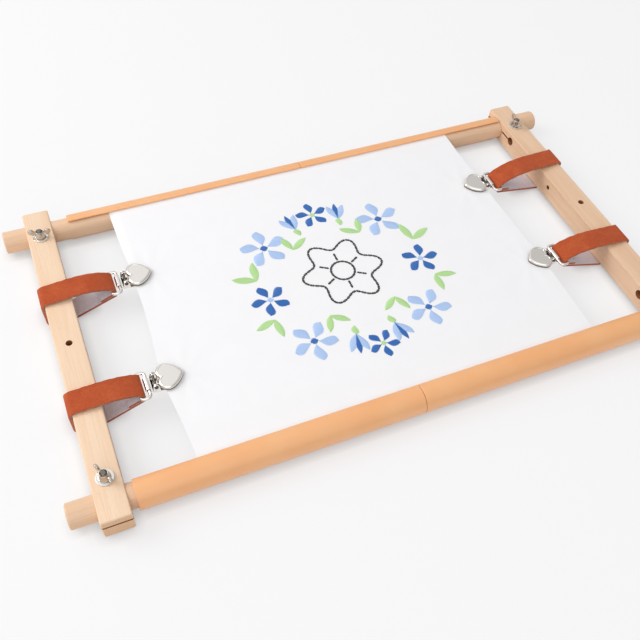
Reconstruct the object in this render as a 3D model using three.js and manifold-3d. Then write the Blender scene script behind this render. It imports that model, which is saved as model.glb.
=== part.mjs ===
// Adjustable embroidery frame: two slit rails clamp two dowels, springy open sleeves hold the cloth
// on the dowels, and four strap clips pull the cloth's sides towards the rails.
// Millimetres. +X runs along the dowels, +Y from the front dowel to the rear one, +Z is up.
// The origin is the middle of the frame's underside, on the surface that it lies on.
import * as THREE from 'three';
import { mergeVertices } from 'three/addons/utils/BufferGeometryUtils.js';
import Module from 'manifold-3d';

const wasm = await Module();
wasm.setup();

// Rails and dowels
const railLength = 250;
const railWidth = 18;
const railHeight = 17.5;
const railEdge = 1.2;
const railEndEdge = 0.6;
const railSpacing = 390;
const dowelOverhang = 16;
const dowelRadius = 7.75;
const dowelChamfer = 1;
const boreSetback = 15;
const boreClearance = 0.25;
const cutOverrun = 2;

// Slit rail ends and the rails' small holes
const slitHeight = 1.5;
const slitRise = 2.3;
const reliefRadius = 3.5;
const reliefSetback = 21.5;
const boltSetback = 11.3;
const topHoleRadius = 2.2;
const topHolePlace = 1;
const sideHoleRadius = 1.8;
const sideHolePlace = 30;
const sideHoleRise = 1.4;

// Clamp bolts, washers and wing nuts
const boltRadius = 1.95;
const boltClearance = 0.35;
const boltEndChamfer = 0.4;
const boltStandOut = 0.8;
const boltHeadRadius = 4.4;
const boltHeadHeight = 1.5;
const boltHeadFaceShare = 0.6;
const neckSide = 3.9;
const neckLength = 3;
const neckClearance = 0.3;
const seatGap = 0.2;
const washerRadius = 5.3;
const washerThickness = 1;
const washerChamfer = 0.25;
const nutBaseRadius = 4.1;
const nutTopRadius = 3.1;
const nutBossHeight = 4.6;
const nutBoreClearance = 0.25;
const wingSpan = 16;
const wingHeight = 6.5;
const wingThickness = 1.9;
const wingEdge = 0.5;
const wingLobeRadius = 2.3;
const wingFootHeight = 0.7;
const wingNeckHeight = 3.6;
const wingTipStart = -31.5;
const wingTipEnd = 139.5;

// Sleeves
const sleeveWall = 1.3;
const sleeveSeam = 0.3;
const sleeveEndSpace = 6.35;
const rearSleeveShiftShare = 0.79;
const rearLipAngle = 75;
const frontLipAngle = 130;
const sleeveSweep = 210;

// Cloth
const clothThickness = 0.35;
const clothGap = 0.15;
const clothMiddleRise = 6.9;
const clothRearRise = 7.5;
const clothFrontRise = 5.95;
const clothRunIn = 22;
const clothTailClearance = 0.05;
const clothPanelClearance = 0.45;
const clothLeftTaper = 2.2;
const clothRightFlare = 1.1;
const clothHemAngle = 15;
const clothPullReach = 34;

// How far from a clip's pin the cloth's edge lies: away from the clips, and in each clip
const clothEdgeLeft = 7.15;
const clothEdgeRight = 8.7;
const clothGripFrontLeft = 5.1;
const clothGripRearLeft = 5.6;
const clothGripFrontRight = 6.7;
const clothGripRearRight = 2.6;

// Straps: a band goes round the rail and folds round the ring's outer bar
const strapWidth = 16;
const strapThickness = 1.8;
const strapGap = 0.3;
const strapCornerEase = 1.2;
const strapTail = 10;
const strapLowerEnd = 1;
const strapShoulderRadius = 3.3;
const strapShoulderStandOff = 0.3;

// Rings
const ringWire = 1.1;
const ringLength = 21.5;
const ringPitch = 6.2;
const ringCorner = 3.2;
const ringRise = 5.6;
const ringRounding = 0.7;

// Clips
const plateThickness = 0.8;
const curlGap = 0.3;
const curlWidth = 9;
const curlSweep = 215;
const jawLength = 19.5;
const jawWidth = 12.4;
const jawFrontRadius = 4.5;
const pinAhead = 4.6;
const pinRise = 2.4;
const pinRadius = 0.75;
const pinClearance = 0.2;
const pinHeadRadius = 1.3;
const pinHeadThickness = 0.5;
const pinHeadFaceShare = 0.75;
const earSpread = 10.8;
const earRadius = 1.5;
const earFoot = 5;
const lugRadius = 1.4;
const lugThickness = 0.8;
const lugGap = 0.3;
const lugReach = 6.4;
const lugRoundEnd = 324;
const heartWidth = 19.4;
const heartLength = 16.1;
const heartSetback = 2.2;
const heartLobeRadius = 5.1;
const heartTipRadius = 2.1;
const heartDrop = 0.4;
const heartRim = 1.9;
const heartDome = 1.1;
const heartWall = 0.8;
const insertStart = 9.2;
const insertLength = 8;
const insertWidth = 10.6;
const insertHeight = 1.75;
const insertToothDepth = 0.4;
const insertTeeth = 4;

// Where the straps and clips sit, from the rail's middle, and how far each ring stands off the rail
const strapPlaceFrontLeft = -44.5;
const strapPlaceRearLeft = 43;
const strapPlaceFrontRight = -38;
const strapPlaceRearRight = 52;
const clipDriftRearRight = -5;
const reachFrontLeft = 31.8;
const reachRearLeft = 34.8;
const reachFrontRight = 42.5;
const reachRearRight = 48.1;

// How steeply each strap climbs off its rail and dips to its ring, in degrees
const strapClimbFrontLeft = 2;
const strapClimbRearLeft = 4;
const strapClimbRight = 2;
const strapDipFrontLeft = 22;
const strapDipRearLeft = 30;
const strapDipRight = 28;

// How far each wing nut is turned, in degrees
const wingTurnFrontLeft = 118;
const wingTurnRearLeft = -13;
const wingTurnFrontRight = 40;
const wingTurnRearRight = 85;

// Counts of flats on the round forms
const dowelFlats = 40;
const boreFlats = 32;
const smallFlats = 16;
const washerFlats = 24;
const pinFlats = 12;

// Points of a line nearer than this are one point
const samePlace = 0.0035;

// Places that follow from the sizes
const railX = railSpacing / 2;
const dowelY = railLength / 2 - boreSetback;
const dowelLength = railSpacing + railWidth + 2 * dowelOverhang;
const axisHeight = strapThickness + strapGap + railHeight / 2;
const boreRadius = dowelRadius + boreClearance;
const boltY = dowelY - boltSetback;
const clothRadius = dowelRadius + clothGap + clothThickness / 2;
const sleeveInner = clothRadius + clothThickness / 2 + clothGap;
const sleeveOuter = sleeveInner + sleeveWall;
const washerTop = railHeight / 2 + seatGap + washerThickness;
const nutBottom = washerTop + seatGap;
const sleeveLength = railX - railWidth / 2 - sleeveSeam / 2 - sleeveEndSpace;
const rearSleeveShift = rearSleeveShiftShare * sleeveEndSpace;
const pinFromBar = ringPitch + pinAhead;
const clothLeft = -railX + reachFrontLeft + pinFromBar + clothEdgeLeft;
const clothRight = railX - reachFrontRight - pinFromBar - clothEdgeRight;
const clothWidth = clothRight - clothLeft;
const clothShift = (clothLeft + clothRight) / 2;

const degree = Math.PI / 180;
const quarter = Math.PI / 2;
const alongX = new THREE.Matrix4().makeBasis(
  new THREE.Vector3(0, 1, 0),
  new THREE.Vector3(0, 0, 1),
  new THREE.Vector3(1, 0, 0),
);
const alongY = new THREE.Matrix4().makeBasis(
  new THREE.Vector3(1, 0, 0),
  new THREE.Vector3(0, 0, 1),
  new THREE.Vector3(0, -1, 0),
);
const alongZ = new THREE.Matrix4();

// Booleans on closed meshes

function toSolid(geometry) {
  const bare = new THREE.BufferGeometry();
  bare.setAttribute('position', geometry.attributes.position);
  bare.setIndex(geometry.index);
  const merged = mergeVertices(bare);
  const corners = merged.index.array;
  const triangles = [];
  for (let i = 0; i < corners.length; i += 3) {
    const [a, b, c] = [corners[i], corners[i + 1], corners[i + 2]];
    if (a !== b && b !== c && c !== a) {
      triangles.push(a, b, c);
    }
  }
  return new wasm.Manifold(new wasm.Mesh({
    numProp: 3,
    vertProperties: new Float32Array(merged.attributes.position.array),
    triVerts: new Uint32Array(triangles),
  }));
}

function toGeometry(solid) {
  const mesh = solid.getMesh();
  const geometry = new THREE.BufferGeometry();
  geometry.setAttribute('position', new THREE.BufferAttribute(mesh.vertProperties, 3));
  geometry.setIndex(new THREE.BufferAttribute(mesh.triVerts, 1));
  geometry.computeVertexNormals();
  return geometry;
}

function join(...pieces) {
  return toGeometry(pieces.map(toSolid).reduce((whole, piece) => whole.add(piece)));
}

function cut(base, ...tools) {
  return toGeometry(tools.map(toSolid).reduce((whole, tool) => whole.subtract(tool), toSolid(base)));
}

// Outlines

function arc(x, y, radius, start, end, steps) {
  const points = [];
  for (let i = 0; i <= steps; i += 1) {
    const angle = start + (end - start) * i / steps;
    points.push(new THREE.Vector2(x + radius * Math.cos(angle), y + radius * Math.sin(angle)));
  }
  return points;
}

function curve(from, control, to, steps) {
  return new THREE.QuadraticBezierCurve(from, control, to).getPoints(steps);
}

function roundedRectangle(width, height, radius, steps) {
  const x = width / 2 - radius;
  const y = height / 2 - radius;
  return [
    ...arc(x, y, radius, 0, quarter, steps),
    ...arc(-x, y, radius, quarter, 2 * quarter, steps),
    ...arc(-x, -y, radius, 2 * quarter, 3 * quarter, steps),
    ...arc(x, -y, radius, 3 * quarter, 4 * quarter, steps),
  ];
}

// The outline of a band of even thickness along a centre line.
function bandShape(line, thickness) {
  const left = [];
  const right = [];
  line.forEach((point, i) => {
    const before = line[Math.max(i - 1, 0)];
    const after = line[Math.min(i + 1, line.length - 1)];
    const into = new THREE.Vector2().subVectors(point, before).normalize();
    const out = new THREE.Vector2().subVectors(after, point).normalize();
    const along = new THREE.Vector2().addVectors(into, out).normalize();
    const mitre = along.dot(into.lengthSq() > 0 ? into : out);
    const across = new THREE.Vector2(-along.y, along.x).multiplyScalar(thickness / 2 / mitre);
    left.push(point.clone().add(across));
    right.unshift(point.clone().sub(across));
  });
  return new THREE.Shape([...left, ...right]);
}

// A line with no two points in one place
function withoutRepeats(line) {
  return line.filter((point, i) => i === 0 || point.distanceTo(line[i - 1]) > samePlace);
}

// Solids from outlines

// An outline drawn in the plane of the frame matrix, extruded evenly to both sides of it.
function extrude(shape, depth, frame, bevel = 0, bevelSteps = 1) {
  const straight = depth - 2 * bevel;
  const geometry = new THREE.ExtrudeGeometry(shape, {
    depth: straight,
    bevelEnabled: bevel > 0,
    bevelThickness: bevel,
    bevelSize: bevel,
    bevelOffset: -bevel,
    bevelSegments: bevelSteps,
  });
  geometry.translate(0, 0, -straight / 2);
  geometry.applyMatrix4(frame);
  return mergedPositions(geometry);
}

function mergedPositions(geometry) {
  geometry.deleteAttribute('normal');
  geometry.deleteAttribute('uv');
  const merged = mergeVertices(geometry);
  merged.computeVertexNormals();
  return merged;
}

// A profile of [radius, height] pairs turned about Z. A profile off the axis closes on itself.
function turned(profile, flats) {
  const points = profile.map(([radius, height]) => new THREE.Vector2(radius, height));
  const geometry = new THREE.LatheGeometry(points, flats);
  geometry.rotateX(quarter);
  return toGeometry(toSolid(mergedPositions(geometry)));
}

function rod(radius, length, flats) {
  return turned([[0, -length / 2], [radius, -length / 2], [radius, length / 2], [0, length / 2]], flats);
}

// A closed thin sheet: place(s, t) gives its middle for s and t from 0 to 1.
function sheet(columns, rows, thickness, place) {
  const positions = [];
  for (const lift of [thickness / 2, -thickness / 2]) {
    for (let row = 0; row <= rows; row += 1) {
      for (let column = 0; column <= columns; column += 1) {
        const point = place(column / columns, row / rows);
        positions.push(point.x, point.y, point.z + lift);
      }
    }
  }
  const layer = (columns + 1) * (rows + 1);
  const at = (column, row) => row * (columns + 1) + column;
  const faces = [];
  for (let row = 0; row < rows; row += 1) {
    for (let column = 0; column < columns; column += 1) {
      const [a, b] = [at(column, row), at(column + 1, row)];
      const [c, d] = [at(column + 1, row + 1), at(column, row + 1)];
      faces.push(a, b, c, a, c, d);
      faces.push(layer + a, layer + c, layer + b, layer + a, layer + d, layer + c);
    }
  }
  const rim = [];
  for (let column = 0; column < columns; column += 1) rim.push(at(column, 0));
  for (let row = 0; row < rows; row += 1) rim.push(at(columns, row));
  for (let column = columns; column > 0; column -= 1) rim.push(at(column, rows));
  for (let row = rows; row > 0; row -= 1) rim.push(at(0, row));
  rim.forEach((start, i) => {
    const end = rim[(i + 1) % rim.length];
    faces.push(start, layer + start, layer + end, start, layer + end, end);
  });
  return indexed(positions, faces);
}

// A closed solid through a stack of rings, each star-shaped about the same middle line.
function stack(rings, middle) {
  const count = rings[0].points.length;
  const positions = [];
  for (const ring of rings) {
    for (const point of ring.points) positions.push(point.x, point.y, ring.height);
  }
  positions.push(middle.x, middle.y, rings[0].height);
  positions.push(middle.x, middle.y, rings[rings.length - 1].height);
  const faces = [];
  for (let i = 0; i < count; i += 1) {
    const next = (i + 1) % count;
    for (let level = 0; level < rings.length - 1; level += 1) {
      const [a, b] = [level * count + i, level * count + next];
      faces.push(a, b, b + count, a, b + count, a + count);
    }
    const top = (rings.length - 1) * count;
    faces.push(rings.length * count, next, i);
    faces.push(rings.length * count + 1, top + i, top + next);
  }
  return indexed(positions, faces);
}

function indexed(positions, faces) {
  const geometry = new THREE.BufferGeometry();
  geometry.setAttribute('position', new THREE.Float32BufferAttribute(positions, 3));
  geometry.setIndex(faces);
  geometry.computeVertexNormals();
  return geometry;
}

// Wooden parts

function railGeometry() {
  const section = new THREE.Shape(roundedRectangle(railWidth, railHeight, railEdge, 2));
  const bar = extrude(section, railLength, alongY, railEndEdge, 1);
  const through = railWidth + 2 * cutOverrun;
  const tools = [];
  for (const end of [-1, 1]) {
    tools.push(rod(boreRadius, through, boreFlats).rotateY(quarter).translate(0, end * dowelY, 0));
    const reliefY = dowelY - reliefSetback;
    const relief = rod(reliefRadius, through, smallFlats).rotateY(quarter);
    tools.push(relief.translate(0, end * reliefY, slitRise));
    const slitLength = railLength / 2 + cutOverrun - reliefY;
    const slit = new THREE.BoxGeometry(through, slitLength, slitHeight);
    tools.push(slit.translate(0, end * (reliefY + slitLength / 2), slitRise));
    const boltHole = rod(boltRadius + boltClearance, railHeight + 2 * cutOverrun, smallFlats);
    tools.push(boltHole.translate(0, end * boltY, 0));
    const pocketSide = neckSide + 2 * neckClearance;
    const pocketDepth = neckLength + neckClearance + cutOverrun;
    const pocket = new THREE.BoxGeometry(pocketSide, pocketSide, pocketDepth);
    tools.push(pocket.translate(0, end * boltY, pocketDepth / 2 - cutOverrun - railHeight / 2));
  }
  const topHole = rod(topHoleRadius, railHeight + 2 * cutOverrun, smallFlats);
  tools.push(topHole.translate(0, topHolePlace, 0));
  const sideHole = rod(sideHoleRadius, through, smallFlats).rotateY(quarter);
  tools.push(sideHole.translate(0, sideHolePlace, sideHoleRise));
  return cut(bar, ...tools);
}

function dowelGeometry() {
  const half = dowelLength / 2;
  const faceRadius = dowelRadius - dowelChamfer;
  const profile = [
    [0, -half],
    [faceRadius, -half],
    [dowelRadius, dowelChamfer - half],
    [dowelRadius, half - dowelChamfer],
    [faceRadius, half],
    [0, half],
  ];
  return turned(profile, dowelFlats).rotateY(quarter);
}

// Clamps

function boltGeometry() {
  const headTop = -railHeight / 2 - seatGap;
  const headBottom = headTop - boltHeadHeight;
  const top = nutBottom + nutBossHeight + boltStandOut;
  const profile = [
    [0, headBottom],
    [boltHeadRadius * boltHeadFaceShare, headBottom],
    [boltHeadRadius, headTop - boltHeadHeight / 2],
    [boltHeadRadius, headTop],
    [boltRadius, headTop],
    [boltRadius, top - boltEndChamfer],
    [boltRadius - boltEndChamfer, top],
    [0, top],
  ];
  const neck = new THREE.BoxGeometry(neckSide, neckSide, neckLength + seatGap);
  neck.translate(0, 0, headTop + (neckLength + seatGap) / 2);
  return join(turned(profile, smallFlats), neck);
}

function washerGeometry() {
  const inner = boltRadius + boltClearance;
  const bottom = railHeight / 2 + seatGap;
  const profile = [
    [inner, bottom],
    [washerRadius, bottom],
    [washerRadius, washerTop - washerChamfer],
    [washerRadius - washerChamfer, washerTop],
    [inner, washerTop],
    [inner, bottom],
  ];
  return turned(profile, washerFlats);
}

// One wing is drawn in the plane of the bolt's axis: foot, outer edge, round tip, saddle.
function wingShape() {
  const tipX = wingSpan / 2 - wingLobeRadius;
  const tipZ = wingHeight - wingLobeRadius;
  const under = arc(tipX, tipZ, wingLobeRadius, wingTipStart * degree, wingTipEnd * degree, 8);
  const foot = new THREE.Vector2(nutTopRadius / 2, wingFootHeight);
  const saddle = new THREE.Vector2(nutTopRadius / 2, wingNeckHeight);
  const outer = curve(foot, new THREE.Vector2(tipX, wingFootHeight), under[0], 4);
  const inner = curve(under[under.length - 1], new THREE.Vector2(nutTopRadius, wingNeckHeight), saddle, 3);
  return new THREE.Shape([...outer, ...under.slice(1), ...inner.slice(1)]);
}

function wingNutGeometry() {
  const ease = wingEdge;
  const boss = turned([
    [0, 0],
    [nutBaseRadius, 0],
    [nutBaseRadius, ease],
    [nutTopRadius, nutBossHeight - ease],
    [nutTopRadius - ease, nutBossHeight],
    [0, nutBossHeight],
  ], smallFlats);
  const wing = extrude(wingShape(), wingThickness, alongY, wingEdge, 1);
  const bore = rod(boltRadius + nutBoreClearance, 2 * wingHeight, smallFlats);
  return cut(join(boss, wing, wing.clone().rotateZ(Math.PI)), bore).translate(0, 0, nutBottom);
}

// Sleeves and cloth. Angles round a dowel start at its front and rise over its top.

function aroundDowel(radius, angle) {
  return new THREE.Vector2(-radius * Math.cos(angle * degree), radius * Math.sin(angle * degree));
}

function aroundDowelArc(radius, start, end, steps) {
  const points = [];
  for (let i = 0; i <= steps; i += 1) {
    points.push(aroundDowel(radius, start + (end - start) * i / steps));
  }
  return points;
}

// The C section: inner and outer arcs with round lips.
function sleeveGeometry(start, end) {
  const middle = (sleeveInner + sleeveOuter) / 2;
  const lip = sleeveWall / 2;
  const towards = Math.sign(end - start);
  const roundLip = (angle, out) => arc(0, 0, lip, 0, 2 * quarter, 4).slice(1, -1).map((point) => {
    const radial = aroundDowel(1, angle);
    const tangent = new THREE.Vector2(radial.y, -radial.x).multiplyScalar(out);
    return radial.clone().multiplyScalar(middle + point.x).addScaledVector(tangent, point.y);
  });
  const outer = aroundDowelArc(sleeveOuter, start, end, 22);
  const inner = aroundDowelArc(sleeveInner, end, start, 22);
  const shape = new THREE.Shape([
    ...outer,
    ...roundLip(end, towards),
    ...inner,
    ...roundLip(start, -towards).reverse(),
  ]);
  return extrude(shape, sleeveLength, alongX);
}

// The cloth lies round the dowel under the sleeve, leaves it at the lip and ends in a short tail.
function clothWrapGeometry(start, lipAngle, rise) {
  const round = aroundDowelArc(clothRadius, start, lipAngle, 18);
  const last = round[round.length - 1];
  const slope = (last.y - rise) * Math.tan(lipAngle * degree);
  const tailEnd = sleeveOuter + clothTailClearance;
  const side = Math.sign(last.x);
  const end = new THREE.Vector2(side * Math.sqrt(tailEnd ** 2 - rise ** 2), rise);
  const bend = new THREE.Vector2(last.x - slope, rise);
  const line = withoutRepeats([...round, ...curve(last, bend, end, 3).slice(1)]);
  return extrude(bandShape(line, clothThickness), clothWidth, alongX);
}

// Smooth step from 0 to 1
function ease(value) {
  const share = Math.min(Math.max(value, 0), 1);
  return share * share * (3 - 2 * share);
}

// The cloth's side edge away from the clips, by how far back it is
function clothSide(side, share) {
  return side < 0 ? clothLeft + clothLeftTaper * (1 - share) : clothRight + clothRightFlare * (1 - share);
}

// How far out a clip draws the cloth's edge at y
function clothPull(corner, y) {
  const pin = railX - corner.reach - pinFromBar;
  const free = corner.side * clothSide(corner.side, (corner.clipPlace + dowelY) / (2 * dowelY));
  const away = y - corner.clipPlace;
  return (pin - corner.grip - free) * Math.exp(-((away / clothPullReach) ** 2));
}

// The stretched field: level between the dowels, easing to each dowel, and drawn out at the clips.
function clothPanelGeometry() {
  const endRadius = sleeveOuter + clothPanelClearance;
  const front = -dowelY + Math.sqrt(endRadius ** 2 - clothFrontRise ** 2);
  const rear = dowelY - Math.sqrt(endRadius ** 2 - clothRearRise ** 2);
  const edge = (side, y) => {
    const drawn = corners
      .filter((corner) => corner.side === side)
      .reduce((sum, corner) => sum + clothPull(corner, y), 0);
    return clothSide(side, (y + dowelY) / (2 * dowelY)) + side * drawn;
  };
  return sheet(10, 32, clothThickness, (s, t) => {
    const y = front + (rear - front) * t;
    const atFront = 1 - ease((y - front) / clothRunIn);
    const atRear = 1 - ease((rear - y) / clothRunIn);
    const rise = clothMiddleRise
      + (clothFrontRise - clothMiddleRise) * atFront
      + (clothRearRise - clothMiddleRise) * atRear;
    return new THREE.Vector3(edge(-1, y) + (edge(1, y) - edge(-1, y)) * s, y, rise);
  });
}

// Straps. Drawn from the rail's middle, with x towards the cloth and y up.
function strapGeometry(corner, drift) {
  const reach = corner.reach;
  const off = strapGap + strapThickness / 2;
  const cornerRadius = off + strapCornerEase;
  const x = railWidth / 2 - strapCornerEase;
  const y = railHeight / 2 - strapCornerEase;
  const foldRadius = ringWire + off;
  const lowerDrop = foldRadius + strapThickness + strapGap;
  const toBar = new THREE.Vector2(reach - x, ringRise + y);
  const climb = Math.atan2(toBar.y, toBar.x) - Math.asin((lowerDrop - cornerRadius) / toBar.length());
  const along = new THREE.Vector2(Math.cos(climb), Math.sin(climb));
  const below = new THREE.Vector2(Math.sin(climb), -Math.cos(climb));
  const bar = new THREE.Vector2(reach, ringRise);
  const lowerEnd = bar.clone().addScaledVector(below, lowerDrop).addScaledVector(along, strapLowerEnd);
  const dip = corner.dip * degree;
  const fold = arc(bar.x, bar.y, foldRadius, quarter - dip, climb - quarter, 9);
  const rise = corner.climb * degree;
  const inset = off + strapShoulderStandOff - strapShoulderRadius;
  const shoulderX = -railWidth / 2 - inset;
  const shoulderY = railHeight / 2 + inset;
  const shoulder = arc(shoulderX, shoulderY, strapShoulderRadius, 2 * quarter, quarter + rise, 6);
  const topStart = shoulder[shoulder.length - 1];
  const third = (fold[0].x - topStart.x) / 3;
  const outward = new THREE.Vector2(Math.cos(rise), Math.sin(rise));
  const homeward = new THREE.Vector2(-Math.cos(dip), Math.sin(dip));
  const run = new THREE.CubicBezierCurve(
    topStart,
    topStart.clone().addScaledVector(outward, third),
    fold[0].clone().addScaledVector(homeward, third),
    fold[0],
  );
  const tailEnd = fold[fold.length - 1].clone().addScaledVector(along, -strapTail);
  const line = [
    lowerEnd,
    ...arc(x, -y, cornerRadius, climb - quarter, -quarter, 2),
    ...arc(-x, -y, cornerRadius, -quarter, -2 * quarter, 4),
    ...shoulder,
    ...run.getPoints(8),
    ...fold.slice(1),
    tailEnd,
  ];
  const band = extrude(bandShape(withoutRepeats(line), strapThickness), strapWidth, alongY);
  const lean = new THREE.Matrix4();
  lean.elements[1] = drift / reach;
  return band.applyMatrix4(lean);
}

// Ring and clip. Drawn from the ring's inner bar, with x towards the cloth and z up.

function ringGeometry() {
  const width = ringPitch + 2 * ringWire;
  const shape = new THREE.Shape(roundedRectangle(width, ringLength, ringCorner, 3));
  const innerWidth = width - 4 * ringWire;
  const innerLength = ringLength - 4 * ringWire;
  const hole = roundedRectangle(innerWidth, innerLength, ringCorner - 2 * ringWire, 3);
  shape.holes.push(new THREE.Path(hole));
  return extrude(shape, 2 * ringWire, alongZ, ringWire * ringRounding, 2).translate(-ringPitch / 2, 0, 0);
}

function clipBaseGeometry() {
  const curlRadius = ringWire + curlGap + plateThickness / 2;
  const tabEnd = new THREE.Vector2(pinAhead + earFoot / 2, -curlRadius);
  const line = [tabEnd, ...arc(0, 0, curlRadius, -quarter, -quarter - curlSweep * degree, 12)];
  const curl = extrude(bandShape(line, plateThickness), curlWidth, alongY);
  const start = pinAhead - earFoot / 2;
  const front = jawLength - jawFrontRadius;
  const side = jawWidth / 2 - jawFrontRadius;
  const plan = new THREE.Shape([
    new THREE.Vector2(start, -earSpread / 2),
    ...arc(front, -side, jawFrontRadius, -quarter, 0, 4),
    ...arc(front, side, jawFrontRadius, 0, quarter, 4),
    new THREE.Vector2(start, earSpread / 2),
  ]);
  const plate = extrude(plan, plateThickness, alongZ).translate(0, 0, -curlRadius);
  const earShape = new THREE.Shape([
    new THREE.Vector2(start, -curlRadius),
    new THREE.Vector2(start + earFoot, -curlRadius),
    ...arc(pinAhead, pinRise, earRadius, 0, 2 * quarter, 8),
  ]);
  const earY = (earSpread - plateThickness) / 2;
  const ears = [-earY, earY].map((y) => extrude(earShape, plateThickness, alongY).translate(0, y, 0));
  const hole = rod(pinRadius + pinClearance, earSpread + 2 * cutOverrun, smallFlats).rotateX(quarter);
  return cut(join(curl, plate, ...ears), hole.translate(pinAhead, 0, pinRise));
}

// A heart seen from above, its point towards the cloth, as one round of points.
function heartOutline(lobeX, lobeY, tipX) {
  const notch = -Math.sqrt(heartLobeRadius ** 2 - lobeY ** 2);
  const toNotch = Math.atan2(-lobeY, notch) + 4 * quarter;
  const span = new THREE.Vector2(tipX - lobeX, -lobeY);
  const tangent = span.angle() - 4 * quarter
    + Math.acos((heartLobeRadius - heartTipRadius) / span.length());
  const half = [
    ...arc(lobeX, lobeY, heartLobeRadius, toNotch, tangent, 10),
    ...arc(tipX, 0, heartTipRadius, tangent, 0, 2),
  ];
  const mirrored = half.slice(1, -1).reverse().map((point) => new THREE.Vector2(point.x, -point.y));
  return [...half, ...mirrored].reverse();
}

function clipLeverGeometry() {
  const lobeX = pinAhead + heartSetback + heartLobeRadius;
  const lobeY = heartWidth / 2 - heartLobeRadius;
  const tipX = pinAhead + heartSetback + heartLength - heartTipRadius;
  const middle = new THREE.Vector2((lobeX + tipX) / 2, 0);
  const outline = heartOutline(lobeX, lobeY, tipX);
  const ring = (share, height) => ({
    height,
    points: outline.map((point) => point.clone().sub(middle).multiplyScalar(share).add(middle)),
  });
  const bottom = pinRise - heartDrop;
  const domeShares = [[0.95, 0.5], [0.82, 0.82], [0.55, 0.98]];
  const heart = stack([
    ring(1, bottom),
    ring(1, bottom + heartRim),
    ...domeShares.map(([widthShare, riseShare]) => ring(widthShare, bottom + heartRim + heartDome * riseShare)),
  ], middle);
  const hollowShare = 1 - 2 * heartWall / heartWidth;
  const hollow = stack([
    ring(hollowShare, bottom - cutOverrun),
    ring(hollowShare, bottom + heartRim - heartWall),
  ], middle);
  const lugY = earSpread / 2 - plateThickness - lugGap - lugThickness / 2;
  const lugTop = pinRise + lugRadius;
  const lugEnd = pinAhead + lugReach;
  const lugShape = new THREE.Shape([
    ...arc(pinAhead, pinRise, lugRadius, quarter, lugRoundEnd * degree, 8),
    new THREE.Vector2(lugEnd, bottom),
    new THREE.Vector2(lugEnd, lugTop),
  ]);
  const lugs = [-lugY, lugY].map((y) => extrude(lugShape, lugThickness, alongY).translate(0, y, 0));
  const hole = rod(pinRadius + pinClearance, earSpread, smallFlats).rotateX(quarter);
  return cut(join(cut(heart, hollow), ...lugs), hole.translate(pinAhead, 0, pinRise));
}

function clipPinGeometry() {
  const shoulder = earSpread / 2 + pinClearance;
  const end = shoulder + pinHeadThickness;
  const profile = [
    [0, -end],
    [pinHeadRadius * pinHeadFaceShare, -end],
    [pinHeadRadius, -shoulder],
    [pinRadius, -shoulder],
    [pinRadius, shoulder],
    [pinHeadRadius, shoulder],
    [pinHeadRadius * pinHeadFaceShare, end],
    [0, end],
  ];
  return turned(profile, pinFlats).rotateX(quarter).translate(pinAhead, 0, pinRise);
}

// The insert's toothed top faces the cloth.
function jawInsertGeometry() {
  const bottom = -(ringWire + curlGap) + seatGap;
  const pitch = insertLength / insertTeeth;
  const top = [];
  for (let i = insertTeeth; i > 0; i -= 1) {
    top.push(new THREE.Vector2(insertStart + i * pitch, bottom + insertHeight - insertToothDepth));
    top.push(new THREE.Vector2(insertStart + (i - 0.5) * pitch, bottom + insertHeight));
  }
  const shape = new THREE.Shape([
    new THREE.Vector2(insertStart, bottom),
    new THREE.Vector2(insertStart + insertLength, bottom),
    ...top,
    new THREE.Vector2(insertStart, bottom + insertHeight - insertToothDepth),
  ]);
  return extrude(shape, insertWidth, alongY);
}

// The four corners: side is -1 on the left and 1 on the right, end is -1 in front and 1 behind.
const corners = [
  {
    name: 'front_left', side: -1, end: -1, wingTurn: wingTurnFrontLeft, grip: clothGripFrontLeft,
    strapPlace: strapPlaceFrontLeft, clipPlace: strapPlaceFrontLeft, reach: reachFrontLeft,
    climb: strapClimbFrontLeft, dip: strapDipFrontLeft,
  },
  {
    name: 'rear_left', side: -1, end: 1, wingTurn: wingTurnRearLeft, grip: clothGripRearLeft,
    strapPlace: strapPlaceRearLeft, clipPlace: strapPlaceRearLeft, reach: reachRearLeft,
    climb: strapClimbRearLeft, dip: strapDipRearLeft,
  },
  {
    name: 'front_right', side: 1, end: -1, wingTurn: wingTurnFrontRight, grip: clothGripFrontRight,
    strapPlace: strapPlaceFrontRight, clipPlace: strapPlaceFrontRight, reach: reachFrontRight,
    climb: strapClimbRight, dip: strapDipRight,
  },
  {
    name: 'rear_right', side: 1, end: 1, wingTurn: wingTurnRearRight, grip: clothGripRearRight,
    strapPlace: strapPlaceRearRight, clipPlace: strapPlaceRearRight + clipDriftRearRight,
    reach: reachRearRight, climb: strapClimbRight, dip: strapDipRight,
  },
];

// Finishes

const finishes = {
  beech: { color: 0xeecda4, roughness: 0.55, metalness: 0 },
  dowelWood: { color: 0xe6c49c, roughness: 0.5, metalness: 0 },
  sleevePlastic: { color: 0xf3bd8c, roughness: 0.4, metalness: 0 },
  cloth: { color: 0xfbfafa, roughness: 0.9, metalness: 0 },
  nickel: { color: 0xcfcfd2, roughness: 0.2, metalness: 1 },
  zinc: { color: 0xb9bbbf, roughness: 0.35, metalness: 1 },
  suede: { color: 0xc65e34, roughness: 0.85, metalness: 0 },
  jawPlastic: { color: 0xe9e7e2, roughness: 0.5, metalness: 0 },
};

function named(name, geometry, finish) {
  const mesh = new THREE.Mesh(geometry, new THREE.MeshStandardMaterial(finishes[finish]));
  mesh.name = name;
  return mesh;
}

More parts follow.
